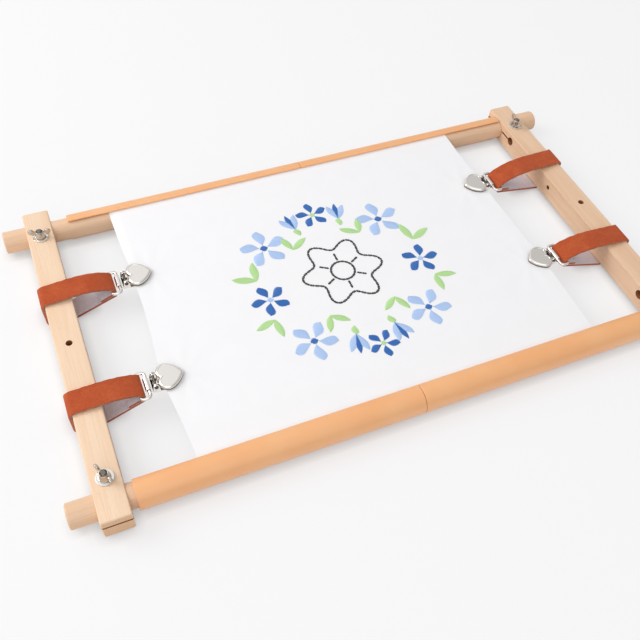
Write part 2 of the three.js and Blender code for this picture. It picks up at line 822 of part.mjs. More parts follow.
function dowelGroup(place, end) {
  const group = new THREE.Group();
  group.position.y = end * dowelY;
  const rear = end > 0;
  const lipAngle = rear ? rearLipAngle : frontLipAngle;
  const sleeveEnd = rear ? lipAngle + sleeveSweep : lipAngle - sleeveSweep;
  const wrapStart = rear ? sleeveEnd - clothHemAngle : sleeveEnd + clothHemAngle;
  const rise = rear ? clothRearRise : clothFrontRise;
  const shift = rear ? rearSleeveShift : 0;
  group.add(named(`${place}_dowel`, dowelGeometry(), 'dowelWood'));
  for (const [word, side] of [['left', -1], ['right', 1]]) {
    const sleeve = named(`${place}_sleeve_${word}`, sleeveGeometry(lipAngle, sleeveEnd), 'sleevePlastic');
    sleeve.position.x = shift + side * (sleeveLength + sleeveSeam) / 2;
    group.add(sleeve);
  }
  const wrap = named(`cloth_wrap_${place}`, clothWrapGeometry(wrapStart, lipAngle, rise), 'cloth');
  wrap.position.x = clothShift + (rear ? 0 : (clothLeftTaper + clothRightFlare) / 2);
  group.add(wrap);
  return group;
}

function clampGroup(corner) {
  const group = new THREE.Group();
  group.position.set(corner.side * railX, corner.end * boltY, 0);
  group.add(named(`clamp_bolt_${corner.name}`, boltGeometry(), 'zinc'));
  group.add(named(`washer_${corner.name}`, washerGeometry(), 'zinc'));
  const nut = named(`wing_nut_${corner.name}`, wingNutGeometry(), 'zinc');
  nut.rotation.z = corner.wingTurn * degree;
  group.add(nut);
  return group;
}

function strapGroup(corner) {
  const group = new THREE.Group();
  group.position.set(corner.side * railX, corner.strapPlace, 0);
  group.rotation.z = corner.side > 0 ? Math.PI : 0;
  const drift = corner.side * (corner.strapPlace - corner.clipPlace);
  group.add(named(`strap_${corner.name}`, strapGeometry(corner, drift), 'suede'));
  const clip = new THREE.Group();
  clip.position.set(corner.reach + ringPitch, drift, ringRise);
  clip.add(named(`clip_ring_${corner.name}`, ringGeometry(), 'nickel'));
  clip.add(named(`clip_base_${corner.name}`, clipBaseGeometry(), 'nickel'));
  clip.add(named(`clip_lever_${corner.name}`, clipLeverGeometry(), 'nickel'));
  clip.add(named(`clip_pin_${corner.name}`, clipPinGeometry(), 'nickel'));
  clip.add(named(`jaw_insert_${corner.name}`, jawInsertGeometry(), 'jawPlastic'));
  group.add(clip);
  return group;
}

function embroideryFrame() {
  const frame = new THREE.Group();
  frame.position.z = axisHeight;
  for (const [word, side] of [['left', -1], ['right', 1]]) {
    const rail = named(`${word}_rail`, railGeometry(), 'beech');
    rail.position.x = side * railX;
    frame.add(rail);
  }
  frame.add(dowelGroup('front', -1));
  frame.add(dowelGroup('rear', 1));
  frame.add(named('cloth_panel', clothPanelGeometry(), 'cloth'));
  for (const corner of corners) {
    frame.add(clampGroup(corner));
    frame.add(strapGroup(corner));
  }
  const part = new THREE.Group();
  part.add(frame);
  return part;
}

export default embroideryFrame();
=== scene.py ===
# %% [markdown]
# An adjustable embroidery frame: two slit wooden rails clamp two dowels, plastic sleeves snap
# over the cloth on each dowel, and four suede straps with heart clips pull the cloth sideways.
# The wooden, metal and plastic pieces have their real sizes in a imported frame, which is loaded
# first and never moved. This lesson gives every piece its finish, and makes finer shapes for
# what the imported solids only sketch: round dowels, stitched cloth, straps and polished clips.

# %% Load the frame
import math

import bmesh
import bpy
from mathutils import Matrix, Vector
from mathutils.geometry import interpolate_bezier


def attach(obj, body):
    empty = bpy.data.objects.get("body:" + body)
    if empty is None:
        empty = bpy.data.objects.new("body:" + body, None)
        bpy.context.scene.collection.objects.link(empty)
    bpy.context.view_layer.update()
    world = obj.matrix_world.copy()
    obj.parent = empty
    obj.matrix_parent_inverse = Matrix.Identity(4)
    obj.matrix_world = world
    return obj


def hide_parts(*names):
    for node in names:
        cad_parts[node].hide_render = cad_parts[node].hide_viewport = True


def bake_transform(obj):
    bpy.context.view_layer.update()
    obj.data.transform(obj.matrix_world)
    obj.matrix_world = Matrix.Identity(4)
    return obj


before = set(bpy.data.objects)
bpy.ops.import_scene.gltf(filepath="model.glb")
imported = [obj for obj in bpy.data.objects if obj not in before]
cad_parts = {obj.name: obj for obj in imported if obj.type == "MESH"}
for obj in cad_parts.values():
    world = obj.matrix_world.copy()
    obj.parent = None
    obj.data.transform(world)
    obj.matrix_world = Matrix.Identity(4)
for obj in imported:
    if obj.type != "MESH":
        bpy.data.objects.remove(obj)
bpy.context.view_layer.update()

MM = 0.001


def shown(name, data):
    """A new object in the scene."""
    made = bpy.data.objects.new(name, data)
    bpy.context.scene.collection.objects.link(made)
    return made


def mesh_of(name, bm, finishes=()):
    """A bmesh as a mesh with these materials. The bmesh is used up."""
    mesh = bpy.data.meshes.new(name)
    bm.to_mesh(mesh)
    bm.free()
    for finish in finishes:
        mesh.materials.append(finish)
    return mesh


print("nodes in the frame:", len(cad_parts))

# %% [markdown]
# A photograph fixes where the camera stands. Three angles turn it: round the object, down
# towards it, and a small roll, because the picture was taken by hand. The camera's own axes
# follow from them, which is easier to read than a matrix of nine numbers.

# %% Camera
CAMERA_PLACE = Vector((-178.6, -316.7, 421.3)) * MM
CAMERA_TURN = math.radians(26.55)
CAMERA_DIP = math.radians(52.04)
CAMERA_ROLL = math.radians(5.17)
CAMERA_LENS = 43.34


def photo_camera():
    """A camera at the photograph's place, turn, dip and roll."""
    level = Vector((math.cos(CAMERA_TURN), -math.sin(CAMERA_TURN), 0))
    ahead = Vector((math.sin(CAMERA_TURN), math.cos(CAMERA_TURN), 0)) * math.cos(CAMERA_DIP)
    ahead.z = -math.sin(CAMERA_DIP)
    above = level.cross(ahead)
    right = level * math.cos(CAMERA_ROLL) + above * math.sin(CAMERA_ROLL)
    up = right.cross(ahead)
    turn = Matrix((right, up, -ahead)).transposed().to_4x4()
    camera = shown("camera", bpy.data.cameras.new("camera"))
    camera.data.lens = CAMERA_LENS
    camera.matrix_world = Matrix.Translation(CAMERA_PLACE) @ turn
    bpy.context.scene.camera = camera


photo_camera()
print("camera stands", round(CAMERA_PLACE.length, 3), "m from the middle of the frame")

# %% [markdown]
# The light and every finish are small graphs of shader nodes. The helpers add one node in one
# call. Colours are written as they look on a screen, then turned into the linear values that
# shaders want.

# %% Helpers for shader nodes


def linear(red, green, blue):
    """A screen colour from 0 to 255 as a linear RGBA value."""
    def one(value):
        value = value / 255
        return value / 12.92 if value <= 0.04045 else ((value + 0.055) / 1.055) ** 2.4
    return (one(red), one(green), one(blue), 1.0)


class Graph:
    """Shader nodes of a material or a world. Each call adds one and gives back its result."""

    def __init__(self, owner):
        owner.use_nodes = True
        self.nodes = owner.node_tree.nodes
        self.links = owner.node_tree.links

    def feed(self, socket, given):
        """Gives a socket the result of another node, or a plain value."""
        if isinstance(given, bpy.types.NodeSocket):
            self.links.new(given, socket)
        else:
            socket.default_value = given

    def node(self, kind, result, inputs=(), **settings):
        """Adds a node with these settings and inputs."""
        node = self.nodes.new("ShaderNode" + kind)
        for name, value in settings.items():
            setattr(node, name, value)
        for name, given in dict(inputs).items():
            self.feed(node.inputs[name], given)
        return node.outputs[result]

    def calculate(self, operation, *values):
        """Values added, multiplied or compared."""
        return self.node("Math", "Value", enumerate(values), operation=operation)

    def levels(self, value, low, high, out_low, out_high):
        """A value stretched from one range to another."""
        return self.node("MapRange", "Result", {
            "Value": value, "From Min": low, "From Max": high, "To Min": out_low, "To Max": out_high})

    def mix(self, first, second, amount):
        """Two colours mixed. The numbers are those of the node's colour sockets."""
        return self.node("Mix", 2, {0: amount, 6: first, 7: second}, data_type="RGBA")

    def ramp(self, value, *stops):
        """Colours along a value: stops are (position, colour)."""
        result = self.node("ValToRGB", "Color", {"Fac": value})
        band = result.node.color_ramp
        while len(band.elements) < len(stops):
            band.elements.new(0.5)
        for element, (position, color) in zip(band.elements, stops):
            element.position = position
            element.color = color
        return result


class Finish(Graph):
    """A material under construction."""

    def __init__(self, name, color, roughness, metallic=0.0):
        self.material = bpy.data.materials.new(name)
        super().__init__(self.material)
        self.shader = self.nodes["Principled BSDF"]
        self.set({"Base Color": color, "Roughness": roughness, "Metallic": metallic})
        self.material.diffuse_color = color

    def set(self, inputs):
        """Feeds inputs of the shader itself."""
        for name, given in inputs.items():
            self.feed(self.shader.inputs[name], given)

    def place(self, scale=(1, 1, 1), source="Object"):
        """Where a pattern reads its place, stretched."""
        return self.node("Mapping", "Vector", {"Vector": self.node("TexCoord", source), "Scale": scale})

    def noise(self, scale, detail=3, place=None, roughness=0.5, distortion=0.0):
        """Soft random patches, one value from 0 to 1."""
        return self.node("TexNoise", "Fac", {
            "Vector": place or self.place(), "Scale": scale, "Detail": detail,
            "Roughness": roughness, "Distortion": distortion})

    def bump(self, height, distance, strength):
        """Relief on the surface, distance in metres."""
        self.set({"Normal": self.node("Bump", "Normal", {
            "Height": height, "Distance": distance, "Strength": strength})})


def speckled(name, color, roughness, scale, dark, pale, depth, strength):
    """A matt finish with fine specks: dark and pale are (position, colour)."""
    finish = Finish(name, color, roughness)
    specks = finish.noise(scale, 2)
    finish.set({"Base Color": finish.ramp(specks, dark, pale)})
    finish.bump(specks, depth, strength)
    return finish.material


print("helpers for shader nodes are ready")

# %% [markdown]
# The picture has a white table and soft light from behind on the left, so shadows fall
# forwards and to the right. A large area lamp gives that softness, and a pale sky, dimmer on
# the right, fills the shadows. Both sky and table look white to the camera and in metal. That
# comes from their materials, which tell such rays apart, and adds no light to the object. The
# table's glow fades where something stands close over it, so contact shadows stay.

# %% Light and table
SKY_LOW = (0.2, 0.2, 0.21, 1.0)
SKY_MIDDLE = (0.88, 0.885, 0.9, 1.0)
SKY_HIGH = (0.98, 0.985, 1.0, 1.0)
SKY_STRENGTH = 0.8
SKY_SHADE = 0.6
SKY_SHADE_REACH = 0.6
SKY_SEEN = (0.955, 0.96, 0.965, 1.0)
KEY_PLACE = Vector((-1.15, 0.55, 1.0))
KEY_SIZE = 0.9
KEY_POWER = 10.5
FILL_PLACE = Vector((-0.6, -1.1, 1.2))
FILL_SIZE = 1.6
FILL_POWER = 4
TABLE_SIZE = 12
TABLE_COLOR = (0.82, 0.82, 0.83, 1.0)
TABLE_SEEN = (0.33, 0.33, 0.335, 1.0)
TABLE_GLOW = 0.615
CONTACT = 0.007
CONTACT_LEFT = 0.45


def area_lamp(name, place, size, power):
    """A square lamp that looks at the middle of the frame."""
    lamp = shown(name, bpy.data.lights.new(name, "AREA"))
    lamp.data.shape = "SQUARE"
    lamp.data.size = size
    lamp.data.energy = power
    lamp.location = place
    lamp.rotation_euler = (-place).to_track_quat("-Z", "Y").to_euler()


def looked_at(graph):
    """1 for a ray from the camera, also by way of a mirror or glass, and 0 for all others."""
    rays = graph.node("LightPath", "Is Camera Ray").node.outputs
    value = rays["Is Camera Ray"]
    for name in ("Is Glossy Ray", "Is Transmission Ray"):
        value = graph.calculate("MAXIMUM", value, rays[name])
    return value


def lit_sky():
    """A pale sky, brighter overhead and to the left, at full strength where it's looked at."""
    world = bpy.data.worlds.new("sky")
    graph = Graph(world)
    direction = graph.node("TexCoord", "Generated")
    split = graph.node("SeparateXYZ", "Z", {0: direction}).node.outputs
    color = graph.ramp(split["Z"], (0.0, SKY_LOW), (0.25, SKY_MIDDLE), (0.7, SKY_HIGH))
    camera = graph.node("LightPath", "Is Camera Ray")
    strength = graph.calculate("MULTIPLY_ADD", looked_at(graph), 1 - SKY_STRENGTH, SKY_STRENGTH)
    shade = graph.levels(split["X"], 0, SKY_SHADE_REACH, 1, SKY_SHADE)
    strength = graph.calculate("MAXIMUM", graph.calculate("MULTIPLY", strength, shade), camera)
    background = graph.nodes["Background"].inputs
    graph.feed(background["Color"], graph.mix(color, SKY_SEEN, camera))
    graph.feed(background["Strength"], strength)
    bpy.context.scene.world = world


def table_top():
    """The table: matt and white, and where it's looked at, darker with a glow to make up for it."""
    top = Finish("table white", TABLE_COLOR, 0.9)
    seen = looked_at(top)
    top.set({"Base Color": top.mix(TABLE_COLOR, TABLE_SEEN, seen), "Specular IOR Level": 0.1})
    near = top.node("AmbientOcclusion", "AO", {"Distance": CONTACT})
    near = top.calculate("MULTIPLY_ADD", near, 1 - CONTACT_LEFT, CONTACT_LEFT)
    strength = top.calculate("MULTIPLY", top.calculate("MULTIPLY", seen, TABLE_GLOW), near)
    glow = top.node("Emission", 0, {"Strength": strength})
    both = top.node("AddShader", 0, {0: top.shader.outputs[0], 1: glow})
    top.feed(top.nodes["Material Output"].inputs["Surface"], both)
    bm = bmesh.new()
    bmesh.ops.create_grid(bm, x_segments=1, y_segments=1, size=TABLE_SIZE / 2)
    table = shown("table", mesh_of("table", bm, [top.material]))


bpy.context.scene.view_settings.view_transform = "Standard"
area_lamp("window light", KEY_PLACE, KEY_SIZE, KEY_POWER)
area_lamp("room fill", FILL_PLACE, FILL_SIZE, FILL_POWER)
lit_sky()
table_top()

# %% [markdown]
# New pieces are drawn in millimetres and scaled to metres at the end, so their numbers read
# like a workshop drawing. Three helpers do most of the work: one closes and turns a shape,
# one rounds its sharp edges, because no real edge is a knife edge, and one spins a profile,
# which is how round metal parts are turned on a lathe. A hard piece also gets weighted normals:
# smooth shading would otherwise bend the light on a large flat face that ends in a fine bevel.

# %% Helpers for shapes


def closed(bm):
    """Merges doubled points and turns every face outwards."""
    bmesh.ops.remove_doubles(bm, verts=bm.verts, dist=0.002)
    bmesh.ops.recalc_face_normals(bm, faces=bm.faces)
    return bm


def softened(bm, width, segments=2, angle=50):
    """Rounds the edges that are sharper than the angle."""
    sharp = [e for e in bm.edges
             if len(e.link_faces) == 2 and e.calc_face_angle() > math.radians(angle)]
    bmesh.ops.bevel(bm, geom=sharp, offset=width, offset_type="OFFSET", segments=segments,
                    profile=0.5, affect="EDGES", clamp_overlap=True, material=-1)
    return bm


def moved(bm, matrix):
    """The same bmesh, moved or turned."""
    bmesh.ops.transform(bm, matrix=matrix, verts=bm.verts)
    return bm


def chosen(geom, kind):
    """The points or the edges among what an operator made."""
    return [g for g in geom if isinstance(g, kind)]


def drawn(bm, profile):
    """Points and edges of a chain of (x, z) places."""
    points = [bm.verts.new((x, 0, z)) for x, z in profile]
    return points + [bm.edges.new(pair) for pair in zip(points, points[1:])]


def turned(profile, steps=48):
    """A round solid: a chain of (radius, height) places spun once about Z."""
    bm = bmesh.new()
    bmesh.ops.spin(bm, geom=drawn(bm, profile), cent=(0, 0, 0), axis=(0, 0, 1),
                   angle=math.tau, steps=steps, use_merge=True)
    return closed(bm)


def swept(section, axis, angle, steps):
    """A solid made by spinning a flat section about an axis through the origin."""
    bm = bmesh.new()
    corners = [bm.verts.new(place) for place in section]
    face = bm.faces.new(corners)
    bmesh.ops.spin(bm, geom=[face, *face.edges, *corners], cent=(0, 0, 0), axis=axis,
                   angle=angle, steps=steps)
    return closed(bm)


def carried(bm, edges, vec):
    """Extrudes a chain of edges along a straight run and gives back its far chain."""
    made = bmesh.ops.extrude_edge_only(bm, edges=edges)["geom"]
    fresh = set(chosen(made, bmesh.types.BMVert))
    bmesh.ops.translate(bm, vec=vec, verts=list(fresh))
    return [e for e in chosen(made, bmesh.types.BMEdge) if fresh.issuperset(e.verts)]


def raised(bm, height):
    """Extrudes a flat face upwards into a closed solid."""
    made = bmesh.ops.extrude_face_region(bm, geom=bm.faces[:])["geom"]
    bmesh.ops.translate(bm, vec=(0, 0, height), verts=chosen(made, bmesh.types.BMVert))
    return closed(bm)


def plate(outline, bottom, thickness, round_corners=(), radius=0.0, segments=6):
    """A flat plate from an outline of (x, y) points. Numbered corners are rounded."""
    bm = bmesh.new()
    corners = [bm.verts.new((x, y, bottom)) for x, y in outline]
    bm.faces.new(corners)
    if round_corners:
        bmesh.ops.bevel(bm, geom=[corners[i] for i in round_corners], offset=radius,
                        offset_type="OFFSET", segments=segments, profile=0.5,
                        affect="VERTICES", material=-1)
    return raised(bm, thickness)


def joined(*parts):
    """One bmesh from several."""
    whole = bmesh.new()
    for part in parts:
        mesh = mesh_of("part", part)
        whole.from_mesh(mesh)
        bpy.data.meshes.remove(mesh)
    return whole


def piece(name, bm, finishes, body=None, stands_for=(), sharp=38, hard=True):
    """Makes a bmesh drawn in millimetres a piece of the frame."""
    moved(bm, Matrix.Scale(MM, 4))
    for face in bm.faces:
        face.smooth = True
    mesh = mesh_of(name, bm, finishes)
    mesh.set_sharp_from_angle(angle=math.radians(sharp))
    made = shown(name, mesh)
    if hard:
        weighted = made.modifiers.new("flat faces stay flat", "WEIGHTED_NORMAL")
        weighted.keep_sharp = True
    if body:
        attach(made, body)
    if stands_for:
        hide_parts(*stands_for)
    return made


FLIP_X = Matrix.Rotation(math.radians(90), 4, "X")
ALONG_X = Matrix.Rotation(math.radians(90), 4, "Y")
print("helpers for shapes are ready")

# %% [markdown]
# The rails and dowels are beech. Its look comes from two scales: broad tone from the growth
# rings, and fine fibres with short dark flecks, both stretched along the bar. One function
# makes both woods, because only the colours and the direction differ. The right rail's copy is
# a little darker: painted shade for the dimmer light on the right.

# %% Wood


def beech(name, pale, tan, fleck, along):
    """Sanded beech with its grain along one axis, 0 for X and 1 for Y."""
    finish = Finish(name, pale, 0.5)
    broad, fine, short = [1.0] * 3, [1.0] * 3, [1.0] * 3
    broad[along], fine[along], short[along] = 0.06, 0.022, 0.16
    rings = finish.noise(95, 2, finish.place(broad), distortion=0.8)
    fibres = finish.noise(1500, 4, finish.place(fine), roughness=0.6)
    flecks = finish.noise(1900, 1, finish.place(short))
    tone = finish.ramp(rings, (0.32, tan), (0.62, pale))
    tone = finish.mix(tone, finish.ramp(fibres, (0.35, tan), (0.6, pale)), 0.5)
    tone = finish.mix(tone, fleck, finish.levels(flecks, 0.66, 0.76, 0.0, 0.35))
    finish.set({"Base Color": tone, "Roughness": finish.levels(fibres, 0.3, 0.7, 0.58, 0.44)})
    finish.bump(fibres, 0.00012, 0.5)
    return finish.material


def end_grain_and_hole_shade(name, pale, dark):
    """Darker speckled beech: end grain cut across its fibres, and painted shade on hole walls."""
    return speckled(name, pale, 0.7, 1800, (0.35, dark), (0.6, pale), 0.0001, 0.4)


LEFT_BEECH = beech("left rail beech", linear(249, 220, 190), linear(241, 203, 167),
                   linear(222, 174, 134), along=1)
# A darker copy of the rail beech: painted shade for the dimmer light on the right rail.
RIGHT_BEECH_SHADED = beech("right rail beech painted shade", linear(242, 206, 173), linear(229, 187, 151),
                    linear(206, 157, 118), along=1)
DOWEL_BEECH = beech("dowel beech", linear(242, 205, 171), linear(230, 188, 150),
                    linear(212, 166, 128), along=0)
END_GRAIN = end_grain_and_hole_shade("end grain", linear(238, 198, 158), linear(222, 176, 134))
# Dark brown for the walls of holes and slits: painted shade for their dark insides.
HOLE_SHADE_WOOD = end_grain_and_hole_shade("hole walls painted shade", linear(176, 116, 74), linear(142, 88, 52))
print("woods:", LEFT_BEECH.name, RIGHT_BEECH_SHADED.name, DOWEL_BEECH.name, END_GRAIN.name, HOLE_SHADE_WOOD.name)

# %% [markdown]
# Each rail is a sawn and drilled bar. Its shape is already right in the imported frame, so the
# piece here is a copy of it: doubles are merged, flat triangles joined, and the edges of the
# holes and slits broken with a fine bevel, as sanding does on the real one. The sawn end faces
# show darker end grain, and the walls of the holes get a dark brown, painted shade for the dark
# inside of each hole.

# %% Rails
RAIL_X = 195
RAIL_HALF_LENGTH = 125
RAIL_HALF_WIDTH = 9.0
RAIL_HALF_HEIGHT = 8.75
AXIS_Z = 10.85


def sanded_rail(side_name, side):
    """A copy of a packed rail with its sharp edges broken."""
    node = side_name + "_rail"
    bm = bmesh.new()
    bm.from_mesh(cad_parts[node].data)
    moved(bm, Matrix.Scale(1 / MM, 4))
    bmesh.ops.remove_doubles(bm, verts=bm.verts, dist=0.002)
    bmesh.ops.dissolve_limit(bm, angle_limit=math.radians(0.5), verts=bm.verts, edges=bm.edges)
    softened(bm, 0.28, segments=2, angle=40)
    for face in bm.faces:
        place = face.calc_center_median() - Vector((side * RAIL_X, 0, AXIS_Z))
        if abs(place.y) > RAIL_HALF_LENGTH - 0.1:
            face.material_index = 1
        # Faces inside the holes and slits get the dark brown: painted shade for the inside of each
        # hole.
        elif abs(place.x) < RAIL_HALF_WIDTH - 0.6 and abs(place.z) < RAIL_HALF_HEIGHT - 0.6:
            face.material_index = 2
    # The right rail takes the darker beech, painted shade for the dimmer light on that side.
    wood, body = (LEFT_BEECH, "frame") if side < 0 else (RIGHT_BEECH_SHADED, "right_side")
    return piece("sanded_rail_" + side_name, bm, [wood, END_GRAIN, HOLE_SHADE_WOOD], body,
                 [node], sharp=30)


for side_name, side in (("left", -1), ("right", 1)):
    rail = sanded_rail(side_name, side)
    print(rail.name, len(rail.data.polygons), "faces")

# %% [markdown]
# The dowels are turned bars with eased ends. A cone operator with equal radii gives the bar,
# and a bevel eases the two end edges.

# %% Dowels
DOWEL_Y = 110
DOWEL_RADIUS = 7.75
DOWEL_LENGTH = 440


def dowel(word, y):
    """A round bar along X with eased ends."""
    bm = bmesh.new()
    bmesh.ops.create_cone(bm, cap_ends=True, cap_tris=False, segments=80,
                          radius1=DOWEL_RADIUS, radius2=DOWEL_RADIUS, depth=DOWEL_LENGTH)
    softened(bm, 1.0, segments=4)
    for face in bm.faces:
        if abs(face.normal.z) > 0.7:
            face.material_index = 1
    moved(bm, Matrix.Translation((0, y, AXIS_Z)) @ ALONG_X)
    return piece("turned_dowel_" + word, bm, [DOWEL_BEECH, END_GRAIN], word + "_roller",
                 [word + "_dowel"])


for word, y in (("front", -DOWEL_Y), ("rear", DOWEL_Y)):
    print(dowel(word, y).name)

# %% [markdown]
# The sleeves are open plastic tubes that spring over the cloth on a dowel. The wall's end face
# is spun about the dowel's axis by 210 degrees, which closes itself into a C, and a bevel
# rounds the lips. The plastic is satin, and its flow marks run faintly along the tube.

# %% Sleeves
SLEEVE_INNER = 8.4
SLEEVE_OUTER = 9.7
SLEEVE_SEAM = 0.3
SLEEVE_SWEEP = 210
# The dowel's Y, the lip's angle, which way the C runs, the shift along X, and one sleeve's length.
SLEEVES = {"front": (-DOWEL_Y, 130, -1, 0.0, 181.5), "rear": (DOWEL_Y, 75, 1, 5.02, 179.5)}


def sleeve_plastic():
    """Peach satin plastic with faint flow marks along the tube."""
    finish = Finish("peach plastic", linear(253, 182, 120), 0.36)
    flow = finish.noise(240, 2, finish.place((0.03, 1, 1)))
    cloud = finish.noise(35, 2)
    finish.set({
        "Base Color": finish.ramp(cloud, (0.3, linear(252, 177, 114)), (0.7, linear(254, 187, 127))),
        "Roughness": finish.levels(flow, 0.3, 0.7, 0.36, 0.46), "Specular IOR Level": 0.85,
        "Coat Weight": 0.5, "Coat Roughness": 0.3, "Subsurface Weight": 0.12,
        "Subsurface Radius": (0.004, 0.002, 0.001), "Subsurface Scale": 1.0})
    finish.bump(finish.noise(2600, 1), 0.00002, 0.4)
    return finish.material


def around(angle, radius):
    """(y, z) on a dowel: angles start at its front and rise over its top."""
    return -radius * math.cos(math.radians(angle)), radius * math.sin(math.radians(angle))


def sleeve(word, side_name, side):
    """One sleeve: a C round the dowel."""
    dowel_y, lip, direction, shift, length = SLEEVES[word]
    middle = shift + side * (length + SLEEVE_SEAM) / 2
    section = [(middle + half * length / 2, *around(lip, radius)) for half, radius in
               ((-1, SLEEVE_INNER), (1, SLEEVE_INNER), (1, SLEEVE_OUTER), (-1, SLEEVE_OUTER))]
    bm = swept(section, (1, 0, 0), -direction * math.radians(SLEEVE_SWEEP), 60)
    softened(bm, 0.4, segments=3, angle=60)
    moved(bm, Matrix.Translation((0, dowel_y, AXIS_Z)))
    return piece("sleeve_" + word + "_" + side_name, bm, [PEACH_PLASTIC], word + "_roller",
                 [word + "_sleeve_" + side_name])


PEACH_PLASTIC = sleeve_plastic()
for word in SLEEVES:
    for side_name, side in (("left", -1), ("right", 1)):
        made = sleeve(word, side_name, side)

# %% [markdown]
# The cloth is one piece of fine evenweave cotton, stretched between the dowels. Here it has
# three parts that meet edge to edge: the stretched field, which stays with the left rail, and
# two ends that lie round the dowels. First comes its shape: how high it lies, and where its side
# edges run, drawn out a little at each clip.

# %% The cloth's shape
CORNERS = ("front_left", "rear_left", "front_right", "rear_right")
# The rail's side, the strap's Y, how far its ring reaches from the rail, and its drift along Y.
CORNER_PLACES = {
    "front_left": (-1, -44.5, 31.8, 0.0),
    "rear_left": (-1, 43.0, 34.8, 0.0),
    "front_right": (1, -38.0, 42.5, 0.0),
    "rear_right": (1, 52.0, 48.1, 5.0),
}
FIELD_FRONT = -101.78
FIELD_REAR = 103.16
CLOTH_LEFT = -145.25
CLOTH_RIGHT = 133.0
CLOTH_TAPER = 2.2
CLOTH_FLARE = 1.1
CLOTH_THICKNESS = 0.35
MIDDLE_RISE = 6.9
FRONT_RISE = 5.95
REAR_RISE = 7.5
RUN_IN = 22
PULL_REACH = 34
# Where along Y each side edge is drawn out, and by how much.
PULLS = {-1: ((-44.5, 3.6), (43, -0.78)), 1: ((-38, 1.26), (47, 0.19))}
CLIP_TIPS = ((-134.1, -44.5), (-131.1, 43.0), (123.4, -38.0), (117.8, 47.0))
RIPPLE = 0.16
CLIP_LIFT = 0.3
EDGE_CURL = 1.9
CORNER_DIP = 0.3


def eased(value):
    """A smooth step from 0 to 1."""
    share = min(max(value, 0.0), 1.0)
    return share * share * (3 - 2 * share)


def cloth_edge(side, y):
    """X of the cloth's side edge."""
    drawn = sum(pull * math.exp(-((y - place) / PULL_REACH) ** 2) for place, pull in PULLS[side])
    forward = (DOWEL_Y - y) / (2 * DOWEL_Y)
    if side < 0:
        return CLOTH_LEFT + CLOTH_TAPER * forward - drawn
    return CLOTH_RIGHT + CLOTH_FLARE * forward + drawn


def cloth_height(x, y):
    """Height of the cloth's middle: level, easing to each dowel, with faint strain ripples."""
    rise = MIDDLE_RISE
    rise += (FRONT_RISE - MIDDLE_RISE) * (1 - eased((y - FIELD_FRONT) / RUN_IN))
    rise += (REAR_RISE - MIDDLE_RISE) * (1 - eased((FIELD_REAR - y) / RUN_IN))
    for tip_x, tip_y in CLIP_TIPS:
        away = Vector((x - tip_x, y - tip_y))
        angle = math.atan2(away.y, away.x)
        rise += RIPPLE * math.exp(-away.length / 28) * math.cos(9 * angle)
        rise += CLIP_LIFT * math.exp(-(away.length / 9) ** 2)
    left = x - cloth_edge(-1, y)
    curl = eased((y - 52) / 23) * (1 - eased(left / 5.0))
    corner = eased((x - cloth_edge(1, y) + 9) / 9) * (1 - eased((y - FIELD_FRONT) / 7))
    return AXIS_Z + rise - EDGE_CURL * curl - CORNER_DIP * corner


print("cloth is", round(cloth_edge(1, 0) - cloth_edge(-1, 0), 1), "mm wide in the middle")

# %% [markdown]
# Evenweave cotton shows its threads only close up, so the weave is a small relief of two
# crossing bands, read from the piece's own flat map in metres. That keeps the threads in line
# where the cloth bends round a dowel. Between the threads the cotton is a touch darker.

# %% Evenweave cotton
THREAD_PITCH = 0.00045


def evenweave():
    """White cotton with two crossing sets of threads."""
    finish = Finish("evenweave cotton", linear(252, 251, 251), 0.85)
    bands = 1 / THREAD_PITCH / 2 * 0.31831
    flat = finish.place(source="UV")
    warp, weft = (finish.node("TexWave", "Fac", {
        "Vector": flat, "Scale": bands, "Distortion": 0.4, "Detail": 1}, bands_direction=axis)
                  for axis in ("X", "Y"))
    weave = finish.calculate("MAXIMUM", warp, weft)
    slub = finish.noise(900, 2, finish.place((1, 0.05, 1), source="UV"))
    fuzz = finish.noise(60, 3, finish.place(source="UV"))
    tone = finish.mix(linear(243, 241, 243), linear(254, 253, 253), weave)
    tone = finish.mix(tone, linear(248, 246, 247), finish.levels(fuzz, 0.4, 0.8, 0.0, 0.6))
    finish.set({"Base Color": tone, "Sheen Weight": 0.15, "Sheen Roughness": 0.5})
    finish.bump(finish.calculate("ADD", weave, slub), 0.00005, 0.3)
    return finish.material


COTTON = evenweave()
print("thread pitch", THREAD_PITCH / MM, "mm")

# %% [markdown]
# The field starts as a flat grid, one square every 2 mm, and each point is moved to its place
# by the two functions above. A solidify operator gives the thickness. The flat map is written
# before the points move, as a cutter would measure the cloth on the table.

# %% The stretched field
FIELD_COLUMNS = 144
FIELD_ROWS = 104


def cloth_grid(columns, rows, width, length):
    """A flat grid of cloth with its map in metres. Its points run from 0 to 1 both ways."""
    bm = bmesh.new()
    bmesh.ops.create_grid(bm, x_segments=columns, y_segments=rows, size=0.5)
    moved(bm, Matrix.Translation((0.5, 0.5, 0)))
    flat = bm.loops.layers.uv.new("flat")
    for face in bm.faces:
        for loop in face.loops:
            loop[flat].uv = (loop.vert.co.x * width * MM, loop.vert.co.y * length * MM)
    return bm


def thickened(bm):
    """Gives a cloth surface its thickness, evenly to both sides."""
    bmesh.ops.recalc_face_normals(bm, faces=bm.faces)
    bm.normal_update()
    for vert in bm.verts:
        vert.co += vert.normal * CLOTH_THICKNESS / 2
    bmesh.ops.solidify(bm, geom=bm.faces[:], thickness=CLOTH_THICKNESS)
    bmesh.ops.recalc_face_normals(bm, faces=bm.faces)
    return bm


